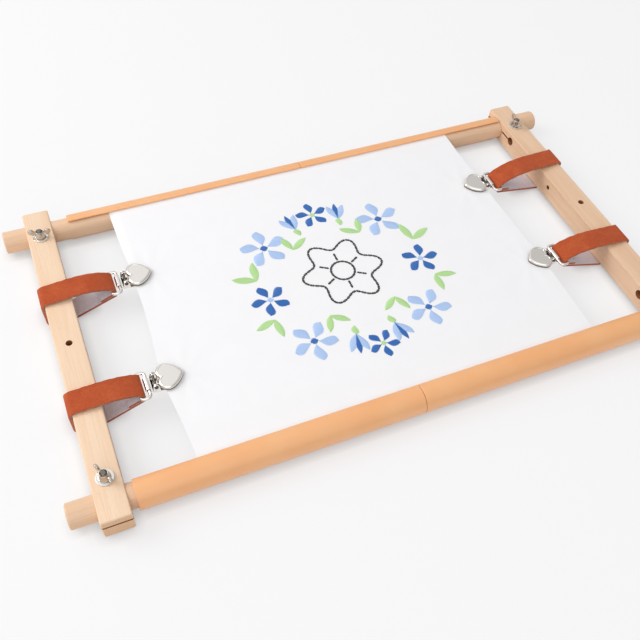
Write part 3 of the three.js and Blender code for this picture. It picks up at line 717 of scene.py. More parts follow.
def cloth_field():
    """The stretched cloth between the dowels."""
    bm = cloth_grid(FIELD_COLUMNS, FIELD_ROWS, CLOTH_RIGHT - CLOTH_LEFT, FIELD_REAR - FIELD_FRONT)
    for vert in bm.verts:
        across, along = vert.co.x, vert.co.y
        y = FIELD_FRONT + (FIELD_REAR - FIELD_FRONT) * along
        left, right = cloth_edge(-1, y), cloth_edge(1, y)
        x = left + (right - left) * across
        vert.co = (x, y, cloth_height(x, y))
    area = sum(face.calc_area() for face in bm.faces) * MM ** 2
    made = piece("cloth_field", thickened(bm), [COTTON], "frame", ["cloth_panel"],
                 hard=False)
    left, right = (CORNER_PLACES[corner][1] for corner in ("front_left", "front_right"))
    size = (cloth_edge(1, right) - cloth_edge(-1, left), FIELD_REAR - FIELD_FRONT)
    return made, size


field, field_size = cloth_field()
print("field", [round(s, 1) for s in field_size], "mm,", len(field.data.polygons), "faces")

# %% [markdown]
# Each end of the cloth leaves the field, meets the dowel at the sleeve's lip and goes round
# under the sleeve. Its path is drawn once as a list of points, and a grid is laid along it.

# %% The cloth's ends
CLOTH_RADIUS = 8.075
WRAP_SWEEP = 195
RUN_STEPS = 8
WRAP_STEPS = 48


def end_path(lip, direction, rise, join_y):
    """(y, z) points from the field to the cloth's end, measured from the dowel's axis."""
    start = Vector((join_y, rise))
    touch = Vector(around(lip, CLOTH_RADIUS))
    slope = math.tan(math.radians(lip)) * (touch.y - rise)
    bend = Vector((touch.x - slope, rise))
    path = []
    for step in range(RUN_STEPS):
        share = step / RUN_STEPS
        path.append(start.lerp(bend, share).lerp(bend.lerp(touch, share), share))
    for step in range(WRAP_STEPS + 1):
        angle = lip + direction * WRAP_SWEEP * step / WRAP_STEPS
        path.append(Vector(around(angle, CLOTH_RADIUS)))
    return path


def cloth_end(word):
    """The cloth's end round one dowel."""
    dowel_y, lip, direction, _, _ = SLEEVES[word]
    join = FIELD_FRONT if word == "front" else FIELD_REAR
    rise = FRONT_RISE if word == "front" else REAR_RISE
    path = end_path(lip, direction, rise, join - dowel_y)
    steps = [(b - a).length for a, b in zip(path, path[1:])]
    length = sum(steps)
    left, right = cloth_edge(-1, join), cloth_edge(1, join)
    rows = len(path) - 1
    bm = cloth_grid(FIELD_COLUMNS, rows, right - left, length)
    for vert in bm.verts:
        point = path[round(vert.co.y * rows)]
        x = left + (right - left) * vert.co.x
        lift = (cloth_height(x, join) - AXIS_Z - rise) * (1 - eased(vert.co.y * rows / RUN_STEPS))
        vert.co = (x, dowel_y + point.x, AXIS_Z + point.y + lift)
    made = piece("cloth_end_" + word, thickened(bm), [COTTON], None, ["cloth_wrap_" + word],
                 hard=False)
    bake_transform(made)
    return made, length


for word in SLEEVES:
    made, length = cloth_end(word)
    print(made.name, round(length, 1), "mm round the dowel")

# %% [markdown]
# A strap is a band of suede lined with plush, stuck to itself in two loops: one round the rail,
# one round the wire ring. Its path is drawn with a pen that makes straight runs and turns, as a
# paper strip is bent round pegs. The band is that path extruded sideways, and each layer
# gets its own thickness from the surface between them, so the cut edge shows both.

# %% Strap path
STRAP_WIDTH = 16
SUEDE_THICKNESS = 1.25
PLUSH_THICKNESS = 0.55
STRAP_GAP = 0.3
STRAP_OFF = 0.85
STRAP_EASE = 1.2
RING_WIRE = 1.1
RING_RISE = 5.6
RING_PITCH = 6.2
STRAP_TAIL = 10
SHOULDER_RADIUS = 2.95
SHOULDER_STAND_OFF = 0.3
# How steeply the upper run leaves the rail and dips to the ring, in degrees.
STRAP_BOWS = {"front_left": (2, 22), "rear_left": (4, 30),
              "front_right": (2, 28), "rear_right": (2, 28)}


class Pen:
    """Draws a chain of edges in the XZ plane."""

    def __init__(self, x, z):
        self.bm = bmesh.new()
        self.tip = self.bm.verts.new((x, 0, z))

    def to(self, x, z):
        """A straight run to a point."""
        self.tip = bmesh.ops.extrude_vert_indiv(self.bm, verts=[self.tip])["verts"][0]
        self.tip.co = (x, 0, z)

    def turn(self, x, z, degrees, steps):
        """A turn about a centre, anticlockwise with X to the right and Z up."""
        if steps:
            last = bmesh.ops.spin(self.bm, geom=[self.tip], cent=(x, 0, z), axis=(0, -1, 0),
                                  angle=math.radians(degrees), steps=steps)["geom_last"]
            self.tip = chosen(last, bmesh.types.BMVert)[0]


def strap_path(corner_name):
    """The strap's middle line, from the rail's middle, X towards the cloth."""
    reach = CORNER_PLACES[corner_name][2]
    rise, dip = (math.radians(angle) for angle in STRAP_BOWS[corner_name])
    corner = STRAP_OFF + STRAP_EASE
    x, z = RAIL_HALF_WIDTH - STRAP_EASE, RAIL_HALF_HEIGHT - STRAP_EASE
    fold = RING_WIRE + STRAP_OFF
    drop = fold + SUEDE_THICKNESS + PLUSH_THICKNESS + STRAP_GAP
    run = Vector((reach - x, RING_RISE + z))
    climb = math.atan2(run.y, run.x) - math.asin((drop - corner) / run.length)
    along = Vector((math.cos(climb), math.sin(climb)))
    below = Vector((along.y, -along.x))
    low = Vector((reach, RING_RISE)) + below * drop + along
    pen = Pen(low.x, low.y)
    low = Vector((x, -z)) + below * corner
    pen.to(low.x, low.y)
    pen.turn(x, -z, -math.degrees(climb), 3)
    pen.to(-x, -z - corner)
    pen.turn(-x, -z, -90, 7)
    inset = STRAP_OFF + SHOULDER_STAND_OFF - SHOULDER_RADIUS
    shoulder = Vector((-RAIL_HALF_WIDTH - inset, RAIL_HALF_HEIGHT + inset))
    pen.to(shoulder.x - SHOULDER_RADIUS, shoulder.y)
    pen.turn(*shoulder, math.degrees(rise) - 90, 8)
    start = Vector(pen.tip.co.xz)
    folded = Vector((reach + fold * math.sin(dip), RING_RISE + fold * math.cos(dip)))
    third = (folded.x - start.x) / 3
    outward = start + third * Vector((math.cos(rise), math.sin(rise)))
    homeward = folded + third * Vector((-math.cos(dip), math.sin(dip)))
    for point in interpolate_bezier(start, outward, homeward, folded, 26)[1:]:
        pen.to(point.x, point.y)
    pen.turn(reach, RING_RISE, math.degrees(dip + climb) - 180, 14)
    end = Vector(pen.tip.co.xz) - along * STRAP_TAIL
    pen.to(end.x, end.y)
    return pen.bm


line = strap_path("front_left")
print("strap path:", round(sum(e.calc_length() for e in line.edges)), "mm long")
line.free()

# %% [markdown]
# Suede has a short nap: it has no gloss, it goes paler where the nap lies over, and its edge
# is rough. Sheen gives the soft pale rim, and two sizes of noise give the brushed patches. The
# plush lining is a longer pile, so its relief is deeper and its colour greyer.

# %% Suede and plush


def suede():
    """Terracotta suede with brushed patches."""
    finish = Finish("terracotta suede", linear(188, 85, 46), 0.92)
    brushed = finish.noise(110, roughness=0.55, distortion=0.3)
    nap = finish.noise(2000, roughness=0.7)
    tufts = finish.noise(950, 2)
    tone = finish.ramp(brushed, (0.3, linear(181, 77, 41)), (0.55, linear(189, 86, 47)),
                       (0.75, linear(198, 96, 55)))
    tone = finish.mix(tone, linear(168, 68, 38), finish.levels(tufts, 0.48, 0.7, 0.0, 0.6))
    tone = finish.mix(tone, linear(212, 120, 84), finish.levels(nap, 0.48, 0.74, 0.0, 0.5))
    finish.set({"Base Color": tone, "Sheen Weight": 0.15, "Sheen Roughness": 0.5,
                "Sheen Tint": linear(255, 205, 180), "Specular IOR Level": 0.15})
    finish.bump(nap, 0.00025, 0.7)
    return finish.material


def plush():
    """Pale lilac-grey pile."""
    finish = Finish("lilac plush", linear(224, 212, 218), 0.95)
    pile = finish.noise(1300, roughness=0.65)
    clumps = finish.noise(240, 2)
    tone = finish.ramp(pile, (0.3, linear(204, 190, 196)), (0.7, linear(236, 227, 232)))
    tone = finish.mix(tone, linear(214, 201, 207), finish.levels(clumps, 0.4, 0.7, 0.0, 0.5))
    finish.set({"Base Color": tone, "Sheen Weight": 0.4, "Sheen Roughness": 0.6})
    finish.bump(pile, 0.0005, 0.8)
    return finish.material


SUEDE = suede()
PLUSH = plush()
CUT_EDGE = speckled("cut suede", linear(184, 104, 72), 0.95, 1500, (0.35, linear(170, 90, 58)),
                    (0.65, linear(198, 122, 90)), 0.0002, 0.6)
print("strap finishes:", SUEDE.name, "and", PLUSH.name)

# %% [markdown]
# Both layers follow the same path, one thickened outwards and one inwards. The band's cut sides
# show the pale fibres of both, and they are a little uneven, as scissors leave them.

# %% Straps
STRAP_STRIPS = 10


def layer(corner, thickness, number):
    """One layer of the strap: the path extruded sideways and thickened to one side."""
    bm = strap_path(corner)
    moved(bm, Matrix.Translation((0, -STRAP_WIDTH / 2, 0)))
    edges = bm.edges[:]
    for _ in range(STRAP_STRIPS):
        edges = carried(bm, edges, (0, STRAP_WIDTH / STRAP_STRIPS, 0))
    bmesh.ops.solidify(bm, geom=bm.faces[:], thickness=thickness)
    bmesh.ops.recalc_face_normals(bm, faces=bm.faces)
    softened(bm, 0.15, segments=2, angle=60)
    for face in bm.faces:
        face.material_index = 2 if abs(face.normal.y) > 0.8 else number
    return bm


def corner_frame(corner):
    """Turns a strap's own drawing to its corner of the frame."""
    side, place, _, _ = CORNER_PLACES[corner]
    turn = math.pi if side > 0 else 0.0
    return Matrix.Translation((side * RAIL_X, place, AXIS_Z)) @ Matrix.Rotation(turn, 4, "Z")


def clip_frame(corner):
    """Turns a clip's own drawing, made round the ring's inner bar, to its corner."""
    _, _, reach, drift = CORNER_PLACES[corner]
    return corner_frame(corner) @ Matrix.Translation((reach + RING_PITCH, drift, RING_RISE))


def strap(corner):
    """The lined band of one corner."""
    _, _, reach, drift = CORNER_PLACES[corner]
    bm = joined(layer(corner, SUEDE_THICKNESS, 0), layer(corner, -PLUSH_THICKNESS, 1))
    lean = Matrix.Identity(4)
    lean[1][0] = drift / reach
    for vert in bm.verts:
        if abs(vert.co.y) > STRAP_WIDTH / 2 - 0.5:
            vert.co.y += 0.12 * math.sin(0.9 * vert.co.x) + 0.08 * math.sin(2.3 * vert.co.x + 1)
    moved(bm, corner_frame(corner) @ lean)
    return piece("strap_band_" + corner, bm, [SUEDE, PLUSH, CUT_EDGE], "clip_" + corner,
                 ["strap_" + corner], sharp=60, hard=False)


for corner in CORNERS:
    made = strap(corner)
    low, high = made.bound_box[0], made.bound_box[6]
    print(made.name, "height", [round(z / MM, 1) for z in (low[2], high[2])])

# %% [markdown]
# The clip's metal is nickel plated and the clamp's is zinc plated. Both are polished metal, so
# the room gives them their look. Nickel is nearly a mirror with a warm tint and faint handling
# marks. Zinc is greyer and duller, with a grain left by tumbling. The bolt's zinc is much
# darker: painted shade for the dark spot where the bolt's end sits in the nut.

# %% Metals


def plated(name, color, smooth, rough, grain, depth):
    """A plated metal whose gloss varies with fine marks."""
    finish = Finish(name, color, smooth, metallic=1.0)
    marks = finish.noise(grain, roughness=0.6)
    finish.set({"Roughness": finish.levels(marks, 0.35, 0.75, smooth, rough)})
    finish.bump(marks, depth, 0.5)
    return finish.material


NICKEL = plated("bright nickel", linear(238, 233, 226), 0.1, 0.2, 700, 0.000004)
# A dark copy of the nickel: painted shade for the heart's upright wall.
SHADED_RIM_NICKEL = plated("heart wall painted shade", linear(128, 120, 112), 0.2, 0.34, 900, 0.00001)
# Darkened zinc for the bolt: painted shade for the dark spot at the bolt's end.
SHADED_BOLT_ZINC = plated("bolt zinc painted shade", linear(130, 122, 114), 0.14, 0.28, 1500, 0.00002)
CAST_ZINC = plated("cast zinc", linear(196, 186, 175), 0.08, 0.18, 1500, 0.00001)
BRIGHT_ZINC = plated("bright zinc", linear(232, 230, 226), 0.2, 0.32, 1500, 0.00002)
DARK_STEEL = plated("pin steel", linear(96, 90, 86), 0.3, 0.45, 1800, 0.00002)
print("metals:", NICKEL.name, SHADED_RIM_NICKEL.name, SHADED_BOLT_ZINC.name, CAST_ZINC.name, BRIGHT_ZINC.name)

# %% [markdown]
# The ring is a round wire bent into a rectangle. A circle is carried along each side and spun
# round each corner, which is how a wire bender works, and the last ring of points meets the
# first.

# %% Wire rings
RING_LENGTH = 21.5
RING_CORNER = 2.1


def bent(bm, edges, centre):
    """Spins a loop of edges by a quarter turn and gives back its far loop."""
    verts = list({v for e in edges for v in e.verts})
    last = bmesh.ops.spin(bm, geom=verts + edges, cent=centre, axis=(0, 0, 1),
                          angle=math.pi / 2, steps=6)["geom_last"]
    return chosen(last, bmesh.types.BMEdge)


def wire_ring():
    """A closed round wire: two long bars along Y, the inner one through the origin."""
    bm = bmesh.new()
    bmesh.ops.create_circle(bm, cap_ends=False, segments=16, radius=RING_WIRE)
    long = RING_LENGTH - 2 * RING_WIRE - 2 * RING_CORNER
    short = RING_PITCH - 2 * RING_CORNER
    moved(bm, Matrix.Translation((0, -long / 2, 0)) @ FLIP_X)
    inner, outer = -RING_CORNER, RING_CORNER - RING_PITCH
    edges = bm.edges[:]
    for run, centre in (((0, long, 0), (inner, long / 2, 0)), ((-short, 0, 0), (outer, long / 2, 0)),
                        ((0, -long, 0), (outer, -long / 2, 0)), ((short, 0, 0), (inner, -long / 2, 0))):
        edges = bent(bm, carried(bm, edges, run), centre)
    return closed(bm)


def clip_pieces(name, shape, finishes, node, body="clip", sharp=38):
    """One piece at each corner, where name, node and body end in the corner's name."""
    for corner in CORNERS:
        made = piece(name + "_" + corner, moved(shape(), clip_frame(corner)), finishes,
                     body + "_" + corner, [node + "_" + corner], sharp)
    print("four of", name, "with", len(made.data.polygons), "faces each")


clip_pieces("wire_ring", wire_ring, [NICKEL], "clip_ring")

# %% [markdown]
# The lower jaw is stamped from one plate. Its tail curls round the ring, its two ears stand up
# for the pin, and its front end is round. Each part is a plate of a few corners, some of them
# rounded, and the curl is a thin section spun about the ring's bar.

# %% Clip bases
PLATE = 0.8
CURL_RADIUS = 1.8
PIN_AHEAD = 4.6
PIN_RISE = 2.4
EAR_SPREAD = 10.8
CURL_SWEEP = 215
CURL_HALF = 4.5


def upright(outline, y, thickness, round_corners, radius):
    """A plate standing in the XZ plane, its middle at y."""
    bm = plate(outline, -thickness / 2, thickness, round_corners, radius)
    return moved(bm, Matrix.Translation((0, y, 0)) @ FLIP_X)


def clip_base():
    """The lower jaw with its ears and curl."""
    bottom = -CURL_RADIUS - PLATE / 2
    jaw = plate(((2.1, -5.4), (10.5, -6.2), (19.5, -6.2), (19.5, 6.2), (10.5, 6.2), (2.1, 5.4)),
                bottom, PLATE, (2, 3), 4.5, 8)
    outline = ((2.1, bottom + 0.1), (7.1, bottom + 0.1), (6.3, 4.1), (2.9, 4.1))
    ears = [softened(upright(outline, side * (EAR_SPREAD - PLATE) / 2, PLATE, (2, 3), 1.65), 0.16)
            for side in (-1, 1)]
    tab = plate(((-0.2, -CURL_HALF), (3.5, -CURL_HALF), (3.5, CURL_HALF), (-0.2, CURL_HALF)),
                bottom, PLATE)
    section = ((0, -CURL_HALF, bottom), (0, CURL_HALF, bottom),
               (0, CURL_HALF, bottom + PLATE), (0, -CURL_HALF, bottom + PLATE))
    curl = swept(section, (0, 1, 0), math.radians(CURL_SWEEP), 20)
    return joined(softened(jaw, 0.16), softened(tab, 0.1), softened(curl, 0.16, angle=60), *ears)


clip_pieces("clip_jaw", clip_base, [NICKEL], "clip_base")

# %% [markdown]
# The lever is a heart pressed from sheet: a tall rim with a bright rounded shoulder, a narrow
# raised border and a flat polished face a little below it. The rim's upright wall is a dark
# nickel, painted shade for the thin dark outline round the heart. Half its outline is drawn with
# the pen, one turn round the lobe, one along its full side and one round the tip, and mirrored.
# The side's arc touches both round ends, so its centre lies where two circles cross. The face is
# pulled up, and a chain of insets, each a little higher, rounds its shoulder. More insets make
# the border and hollow.

# %% Heart levers
LOBE = Vector((12.2, 3.8))
LOBE_RADIUS = 5.8
TIP_X = 20.8
TIP_RADIUS = 2.1
SIDE_RADIUS = 16
HEART_BOTTOM = 2.0
HEART_HEIGHT = 2.75
SHOULDER = 1.5
SHOULDER_STEPS = 6
HEART_BORDER = 0.2
HEART_HOLLOW = 0.2
LUG_SPREAD = 7.8


def side_centre():
    """The centre of the arc that touches the lobe and the tip from outside."""
    tip = Vector((TIP_X, 0))
    span = tip - LOBE
    to_lobe, to_tip = SIDE_RADIUS - LOBE_RADIUS, SIDE_RADIUS - TIP_RADIUS
    along = (to_lobe ** 2 - to_tip ** 2 + span.length_squared) / (2 * span.length)
    aside = math.sqrt(to_lobe ** 2 - along ** 2)
    heading = span.normalized()
    return LOBE + heading * along + Vector((heading.y, -heading.x)) * aside


def bearing(start, end):
    """The direction from one point to another, in degrees."""
    return math.degrees(math.atan2(end.y - start.y, end.x - start.x))


def heart_outline():
    """The outline of the heart, its notch towards the hinge, as one flat face."""
    notch = LOBE.x - math.sqrt(LOBE_RADIUS ** 2 - LOBE.y ** 2)
    centre = side_centre()
    at_notch = bearing(LOBE, Vector((notch, 0))) + 360
    leave = bearing(centre, LOBE)
    arrive = bearing(centre, Vector((TIP_X, 0)))
    pen = Pen(notch, 0)
    pen.turn(LOBE.x, LOBE.y, leave - at_notch, 28)
    pen.turn(centre.x, centre.y, arrive - leave, 8)
    pen.turn(TIP_X, 0, -arrive, 6)
    bm = moved(pen.bm, FLIP_X.inverted())
    bmesh.ops.mirror(bm, geom=bm.verts[:] + bm.edges[:], matrix=Matrix.Identity(4),
                     merge_dist=0.01, axis="Y")
    bmesh.ops.remove_doubles(bm, verts=bm.verts, dist=0.01)
    bmesh.ops.contextual_create(bm, geom=bm.edges[:])
    return bm


def facing(bm, up):
    """The largest face that looks up or down."""
    flat = [f for f in bm.faces if f.normal.z * up > 0.9]
    return max(flat, key=lambda f: f.calc_area())


def inset(bm, face, thickness, depth):
    """Draws a face inwards and raises or sinks it."""
    bmesh.ops.inset_region(bm, faces=[face], thickness=thickness, depth=depth, use_even_offset=True)


def heart():
    """The heart's shell: a wall, a rounded shoulder, a border and a sunken face."""
    bm = moved(heart_outline(), Matrix.Translation((0, 0, HEART_BOTTOM)))
    raised(bm, HEART_HEIGHT - SHOULDER)
    top = facing(bm, 1)
    for step in range(SHOULDER_STEPS):
        start, end = (math.pi / 2 * (step + k) / SHOULDER_STEPS for k in (0, 1))
        inset(bm, top, SHOULDER * (math.cos(start) - math.cos(end)),
              SHOULDER * (math.sin(end) - math.sin(start)))
    inset(bm, top, HEART_BORDER, 0)
    inset(bm, top, 0.15, -HEART_HOLLOW)
    under = facing(bm, -1)
    inset(bm, under, 0.8, 0)
    inset(bm, under, 0.05, -1.0)
    # The upright wall gets the dark nickel, painted shade for the heart's thin dark outline.
    for face in bm.faces:
        if abs(face.normal.z) < 0.1:
            face.material_index = 1
    return bm


def lever():
    """The heart with the two lugs that the pin goes through."""
    outline = ((3.2, 1.0), (6.0, 1.0), (11.0, 2.4), (11.0, 3.9), (3.2, 3.8))
    lugs = [softened(upright(outline, side * LUG_SPREAD / 2, PLATE, (0, 4), 1.39), 0.14)
            for side in (-1, 1)]
    return joined(heart(), *lugs)


clip_pieces("heart_lever", lever, [NICKEL, SHADED_RIM_NICKEL], "clip_lever", body="lever", sharp=30)

# %% [markdown]
# The pin is a short rod whose ends are spread over the ears. Spreading leaves a dimple in each
# end, which looks like a dark dot. The insert under the cloth is a moulded plastic pad with
# four ridges across it, so the cloth can't slip.

# %% Pins and inserts
INSERT = (9.2, 8.0, 10.6, 1.75)
RIDGE = 0.4
RIDGE_STEPS = 8


def pin():
    """A rod along Y with dimpled ends."""
    half = EAR_SPREAD / 2
    profile = [(0, -half - 0.2), (0.55, -half - 0.25), (0.8, -half - 0.6), (1.15, -half - 0.55),
               (1.3, -half - 0.25), (1.25, -half - 0.04), (0.75, -half), (0.75, half),
               (1.25, half + 0.04), (1.3, half + 0.25), (1.15, half + 0.55), (0.8, half + 0.6),
               (0.55, half + 0.25), (0, half + 0.2)]
    return moved(turned(profile, 24), Matrix.Translation((PIN_AHEAD, 0, PIN_RISE)) @ FLIP_X)


def jaw_pad():
    """A pad with four ridges across it."""
    start, length, width, height = INSERT
    bottom = -CURL_RADIUS + PLATE / 2 + 0.02
    bm = plate(((start, -width / 2), (start + length, -width / 2), (start + length, width / 2),
                (start, width / 2)), bottom, height - RIDGE)
    long = [e for e in bm.edges if abs(e.verts[0].co.y - e.verts[1].co.y) < 1
            and abs(e.verts[0].co.z - e.verts[1].co.z) < 0.1]
    bmesh.ops.subdivide_edges(bm, edges=long, cuts=RIDGE_STEPS - 1, use_grid_fill=True)
    for vert in bm.verts:
        step = round((vert.co.x - start) / length * RIDGE_STEPS)
        if vert.co.z > bottom + 0.5 and step % 2:
            vert.co.z += RIDGE
    bmesh.ops.recalc_face_normals(bm, faces=bm.faces)
    return softened(bm, 0.1, segments=1, angle=25)


MILKY = speckled("milky plastic", linear(233, 231, 226), 0.45, 400, (0.3, linear(228, 225, 219)),
                 (0.7, linear(238, 236, 232)), 0.00003, 0.4)
clip_pieces("ear_pin", pin, [DARK_STEEL], "clip_pin")
clip_pieces("jaw_pad", jaw_pad, [MILKY], "jaw_insert", sharp=20)

# %% [markdown]
# The clamp hardware is turned and cast. The bolt's thread is a small V spun round and upwards,
# one pitch in each turn, over a core. Its head is a low dome with a square neck, which keeps it
# from turning in the wood. The wings are cast, so they get larger soft edges.

# %% Bolts and washers
BOLT_Y = 98.7
BOLT_RADIUS = 1.95
THREAD = 0.7
WASHER_TOP = 9.95
NUT_HEIGHT = 4.6
NUT_GAP = 0.2
THREAD_STEPS = 20


def clamp_frame(corner, lift=0):
    """The place of a clamp's bolt in its rail."""
    end = -1 if corner.startswith("front") else 1
    return Matrix.Translation((CORNER_PLACES[corner][0] * RAIL_X, end * BOLT_Y, AXIS_Z + lift))


def bolt():
    """A carriage bolt round the Z axis, measured from the rail's middle."""
    under = -RAIL_HALF_HEIGHT - 0.02
    top = WASHER_TOP + NUT_GAP + NUT_HEIGHT + 0.8
    shank = turned([(0, under - 1.65), (1.6, under - 1.5), (3.0, under - 1.05), (4.0, under - 0.45),
                    (4.4, under), (1.9, under), (1.9, -1.2), (1.62, -0.9), (1.62, top - 0.35),
                    (1.25, top), (0, top)], 40)
    neck = bmesh.new()
    bmesh.ops.create_cube(neck, size=1)
    moved(neck, Matrix.Translation((0, 0, under + 1.6)) @ Matrix.Diagonal((3.9, 3.9, 3.2, 1)))
    start = -1.0
    turns = int((top - 0.45 - start) / THREAD) - 1
    thread = bmesh.new()
    ridge = drawn(thread, ((1.6, start), (BOLT_RADIUS, start + THREAD / 2), (1.6, start + THREAD)))
    bmesh.ops.spin(thread, geom=ridge, cent=(0, 0, 0), axis=(0, 0, 1),
                   dvec=(0, 0, THREAD / THREAD_STEPS), angle=math.tau * turns,
                   steps=THREAD_STEPS * turns)
    return joined(shank, softened(neck, 0.3), closed(thread))


def washer():
    """A flat ring with eased edges, lying on the rail."""
    low, high = RAIL_HALF_HEIGHT + 0.02, WASHER_TOP
    ring = turned([(2.3, low), (5.3, low), (5.3, high), (2.3, high), (2.3, low)], 56)
    return softened(ring, 0.2, segments=2, angle=60)


for corner in CORNERS:
    body = "frame" if corner.endswith("left") else "right_side"
    # The bolt's dark zinc is painted shade for the dark spot in the middle of each nut.
    piece("carriage_bolt_" + corner, moved(bolt(), clamp_frame(corner)), [SHADED_BOLT_ZINC], body,
          ["clamp_bolt_" + corner])
    made = piece("flat_washer_" + corner, moved(washer(), clamp_frame(corner)), [BRIGHT_ZINC], body,
                 ["washer_" + corner])
    print(made.name, "on the", body)

# %% [markdown]
# The nut's boss is turned, and each wing is a plate with large soft edges. In the photograph
# every nut stands at its own angle, as they do after tightening by hand.

# %% Wing nuts
WING_TURNS = {"front_left": 118, "rear_left": -13, "front_right": 40, "rear_right": 85}


def wing():
    """One wing, standing in the XZ plane."""
    outline = ((1.4, 0.7), (4.4, 0.9), (7.3, 2.7), (8.0, 5.0), (6.6, 6.5), (4.4, 6.3),
               (3.2, 4.3), (1.4, 3.9))
    flat = upright(outline, 0, 1.5, (1, 2, 3, 4, 5, 6), 0.8)
    return softened(flat, 0.45, segments=4, angle=40)


def wing_nut():
    """A cast wing nut round the Z axis."""
    boss = turned([(2.2, 0), (3.7, 0), (3.7, 0.4), (2.8, 3.8), (2.5, NUT_HEIGHT),
                   (2.2, NUT_HEIGHT), (2.2, 0)], 40)
    wings = [moved(wing(), Matrix.Rotation(turn, 4, "Z")) for turn in (0, math.pi)]
    return joined(softened(boss, 0.25, angle=40), *wings)


for corner in CORNERS:
    stand = clamp_frame(corner, WASHER_TOP + NUT_GAP)
    spin = Matrix.Rotation(math.radians(WING_TURNS[corner]), 4, "Z")
    made = piece("cast_wing_nut_" + corner, moved(wing_nut(), stand @ spin), [CAST_ZINC],
                 "nut_" + corner, ["wing_nut_" + corner], sharp=45)
print("four of cast_wing_nut with", len(made.data.polygons), "faces each")

# %% [markdown]
# The embroidery on the cloth is a plain sampler of flowers and leaves. Satin stitch fills a
# shape with threads laid side by side across it, so each shape here is laid thread by thread:
# one small tapered thread is modelled once, and stretched between the two sides of the shape
# at every step. The dark outlines are chain stitch, pairs of short threads along a line.

# %% Threads


def floss(name, color, pale):
    """Stranded cotton: a soft gloss and a fine twist."""
    finish = Finish(name, color, 0.42)
    twist = finish.noise(1800, 2)
    tone = finish.mix(color, pale, finish.levels(twist, 0.45, 0.75, 0.0, 0.5))
    finish.set({"Base Color": tone, "Sheen Weight": 0.2})
    finish.bump(twist, 0.00006, 0.5)
    return finish.material


FLOSSES = {
    "sky": floss("sky floss", linear(176, 203, 243), linear(206, 224, 250)),
    "blue": floss("blue floss", linear(22, 98, 178), linear(64, 136, 204)),
    "green": floss("green floss", linear(182, 223, 148), linear(208, 238, 182)),
    "black": floss("black floss", linear(22, 22, 24), linear(62, 62, 66)),
}


def thread_unit():
    """One thread of unit length along X, full in the middle and thin at its ends."""
    bm = bmesh.new()
    bmesh.ops.create_cone(bm, cap_ends=True, cap_tris=False, segments=6, radius1=0.5,
                          radius2=0.5, depth=1.0)
    moved(bm, ALONG_X)
    long = [e for e in bm.edges if abs(e.verts[0].co.x - e.verts[1].co.x) > 0.5]
    bmesh.ops.subdivide_edges(bm, edges=long, cuts=3)
    for vert in bm.verts:
        near_end = abs(vert.co.x) * 2
        thin = 1 - 0.45 * near_end ** 4
        vert.co.y *= thin
        vert.co.z = vert.co.z * thin + 0.5 * (1 - near_end ** 2)
    return mesh_of("thread", bm)


THREAD_MESH = thread_unit()
SEWN = {color: bmesh.new() for color in FLOSSES}


def lay(color, start, end, width, height):
    """Lays one thread on the cloth from start to end, both (x, y)."""
    bm = SEWN[color]
    count = len(bm.verts)
    bm.from_mesh(THREAD_MESH)
    bm.verts.ensure_lookup_table()
    middle = (Vector(start) + Vector(end)) / 2
    span = Vector(end) - Vector(start)
    z = cloth_height(middle.x, middle.y) + CLOTH_THICKNESS / 2
    matrix = (Matrix.Translation((middle.x, middle.y, z))
              @ Matrix.Rotation(math.atan2(span.y, span.x), 4, "Z")
              @ Matrix.Diagonal((span.length, width, height, 1)))
    bmesh.ops.transform(bm, matrix=matrix, verts=bm.verts[count:])


print("one thread has", len(THREAD_MESH.polygons), "faces")

# %% [markdown]
# Satin stitch lays threads across a leaf or petal, a little slanted, and each is as long as the
# shape is wide there. Chain stitch needs points that lie evenly along a line, so the line is
# walked in small steps and a point is taken at each link.

# %% Satin and chain stitch
STITCH_PITCH = 0.66
LINK = 3.6
SATIN_WIDTH, SATIN_HEIGHT = 0.82, 0.42
CHAIN_WIDTH, CHAIN_HEIGHT = 0.95, 0.5
CURVE_STEPS = 400


def pointing(angle):
    """A unit vector at an angle in radians."""
    return Vector((math.cos(angle), math.sin(angle)))


def satin(color, base, heading, length, width, fullness=0.5, slant=0.35):
    """Fills a leaf or petal with slanted threads. fullness is where it's widest."""
    along = pointing(math.radians(heading))
    across = Vector((-along.y, along.x))
    count = max(int(length / STITCH_PITCH), 3)
    power = math.log(0.5) / math.log(fullness)
    for step in range(count):
        share = (step + 0.5) / count
        half = width / 2 * math.sin(math.pi * share ** power) ** 0.75
        centre = Vector(base) + along * (length * share)
        lean = along * (slant * half)
        lay(color, centre - across * half - lean, centre + across * half + lean,
            SATIN_WIDTH, SATIN_HEIGHT)


def chain(color, points, width=2.1):
    """Chain stitch along a line of points: each link is two bowed threads."""
    for start, end in zip(points, points[1:]):
        start, end = Vector(start), Vector(end)
        side = Vector((start.y - end.y, end.x - start.x)).normalized() * width * 0.27
        middle = (start + end) / 2
        for bow in (-1, 1):
            lay(color, start, middle + side * bow, CHAIN_WIDTH, CHAIN_HEIGHT)
            lay(color, middle + side * bow, end, CHAIN_WIDTH, CHAIN_HEIGHT)


def even_points(curve, start, end, link=LINK):
    """Points about a link apart along a curve, given as a function of one value."""
    fine = [Vector(curve(start + (end - start) * i / CURVE_STEPS))
            for i in range(CURVE_STEPS + 1)]
    length = sum((b - a).length for a, b in zip(fine, fine[1:]))
    count = max(round(length / link), 1)
    picked, walked = [fine[0]], 0.0
    for before, after in zip(fine, fine[1:]):
        walked += (after - before).length
        if walked >= length / count * len(picked) - 1e-6:
            picked.append(after)
    return picked


print("stitches", STITCH_PITCH, "mm apart, links", LINK, "mm long")

# %% [markdown]
# The sampler's plan is simple: one large open flower in chain stitch in the middle, and round
# it daisies, buds and pairs of leaves, mirrored left and right as samplers often are.

# %% Sampler
MIDDLE = Vector((-6, -4))
CENTRE_LIFT = 4


def spot(x, y):
    """A place on the cloth, measured from the sampler's middle."""
    return MIDDLE + Vector((x, y))


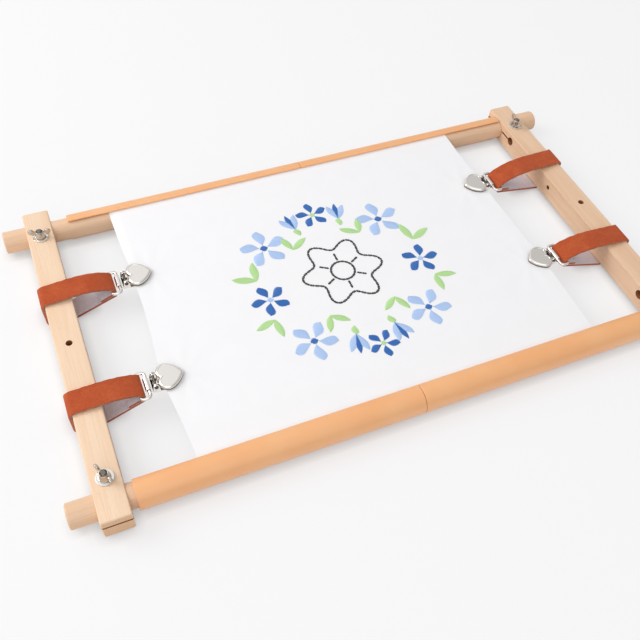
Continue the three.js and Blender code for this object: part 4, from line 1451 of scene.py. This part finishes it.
def daisy(color, heart_color, place, size, turn):
    """Five satin petals round a small middle."""
    for petal in range(5):
        heading = turn + 72 * petal
        away = pointing(math.radians(heading))
        satin(color, place + away * size * 0.22, heading, size, size * 0.62, 0.62)
    satin(heart_color, place - Vector((size * 0.2, 0)), 0, size * 0.4, size * 0.4, 0.5, 0)


def bud(place, heading, size):
    """A closed bud: two sky petals round a blue one, on a green cup."""
    for spread in (-24, 24):
        satin("sky", place, heading + spread, size, size * 0.36, 0.55)
    satin("blue", place, heading, size * 1.05, size * 0.3, 0.5)
    satin("green", place, heading + 180, size * 0.45, size * 0.34, 0.4)


def leaf_pair(place, heading, size):
    """Two leaves that share a stem end."""
    for spread in (-38, 38):
        satin("green", place, heading + spread, size, size * 0.36, 0.5)


def open_flower(radius, petals, depth):
    """The outline of the middle flower."""
    def curve(angle):
        reach = radius * (1 + depth * math.cos(petals * angle))
        return MIDDLE.x + reach * math.cos(angle), MIDDLE.y + CENTRE_LIFT + reach * math.sin(angle)
    return curve


chain("black", even_points(open_flower(25, 6, 0.2), 0, math.tau))
chain("black", even_points(open_flower(8.5, 6, 0.0), 0, math.tau, 2.9))
for ray in range(6):
    out = pointing(math.tau * (ray + 0.5) / 6)
    chain("black", [MIDDLE + out * reach + Vector((0, CENTRE_LIFT)) for reach in (10, 13.4, 16.8)], 1.8)
for side in (-1, 1):
    daisy("sky", "blue", spot(side * 45, 42), 14, 90)
    daisy("blue", "sky", spot(side * 57, -4), 11, 90 - side * 18)
    daisy("sky", "blue", spot(side * 42, -46), 13, 270)
    bud(spot(side * 17, 52), 90 - side * 10, 15)
    bud(spot(side * 14, -50), 270 + side * 12, 15)
    for x, y, heading, lean, size in ((60, 15, 90, -30, 17), (60, -21, 270, 35, 15),
                                      (26, 34, 90, 20, 15), (24, -30, 270, -15, 14)):
        leaf_pair(spot(side * x, y), heading + side * lean, size)
daisy("blue", "green", spot(0, 62), 10, 90)
daisy("blue", "green", spot(0, -63), 9, 270)
for color, bm in SEWN.items():
    made = piece("sewn_" + color, bm, [FLOSSES[color]], "frame", [], sharp=70, hard=False)
    print(made.name, len(made.data.polygons), "faces")
bpy.data.meshes.remove(THREAD_MESH)
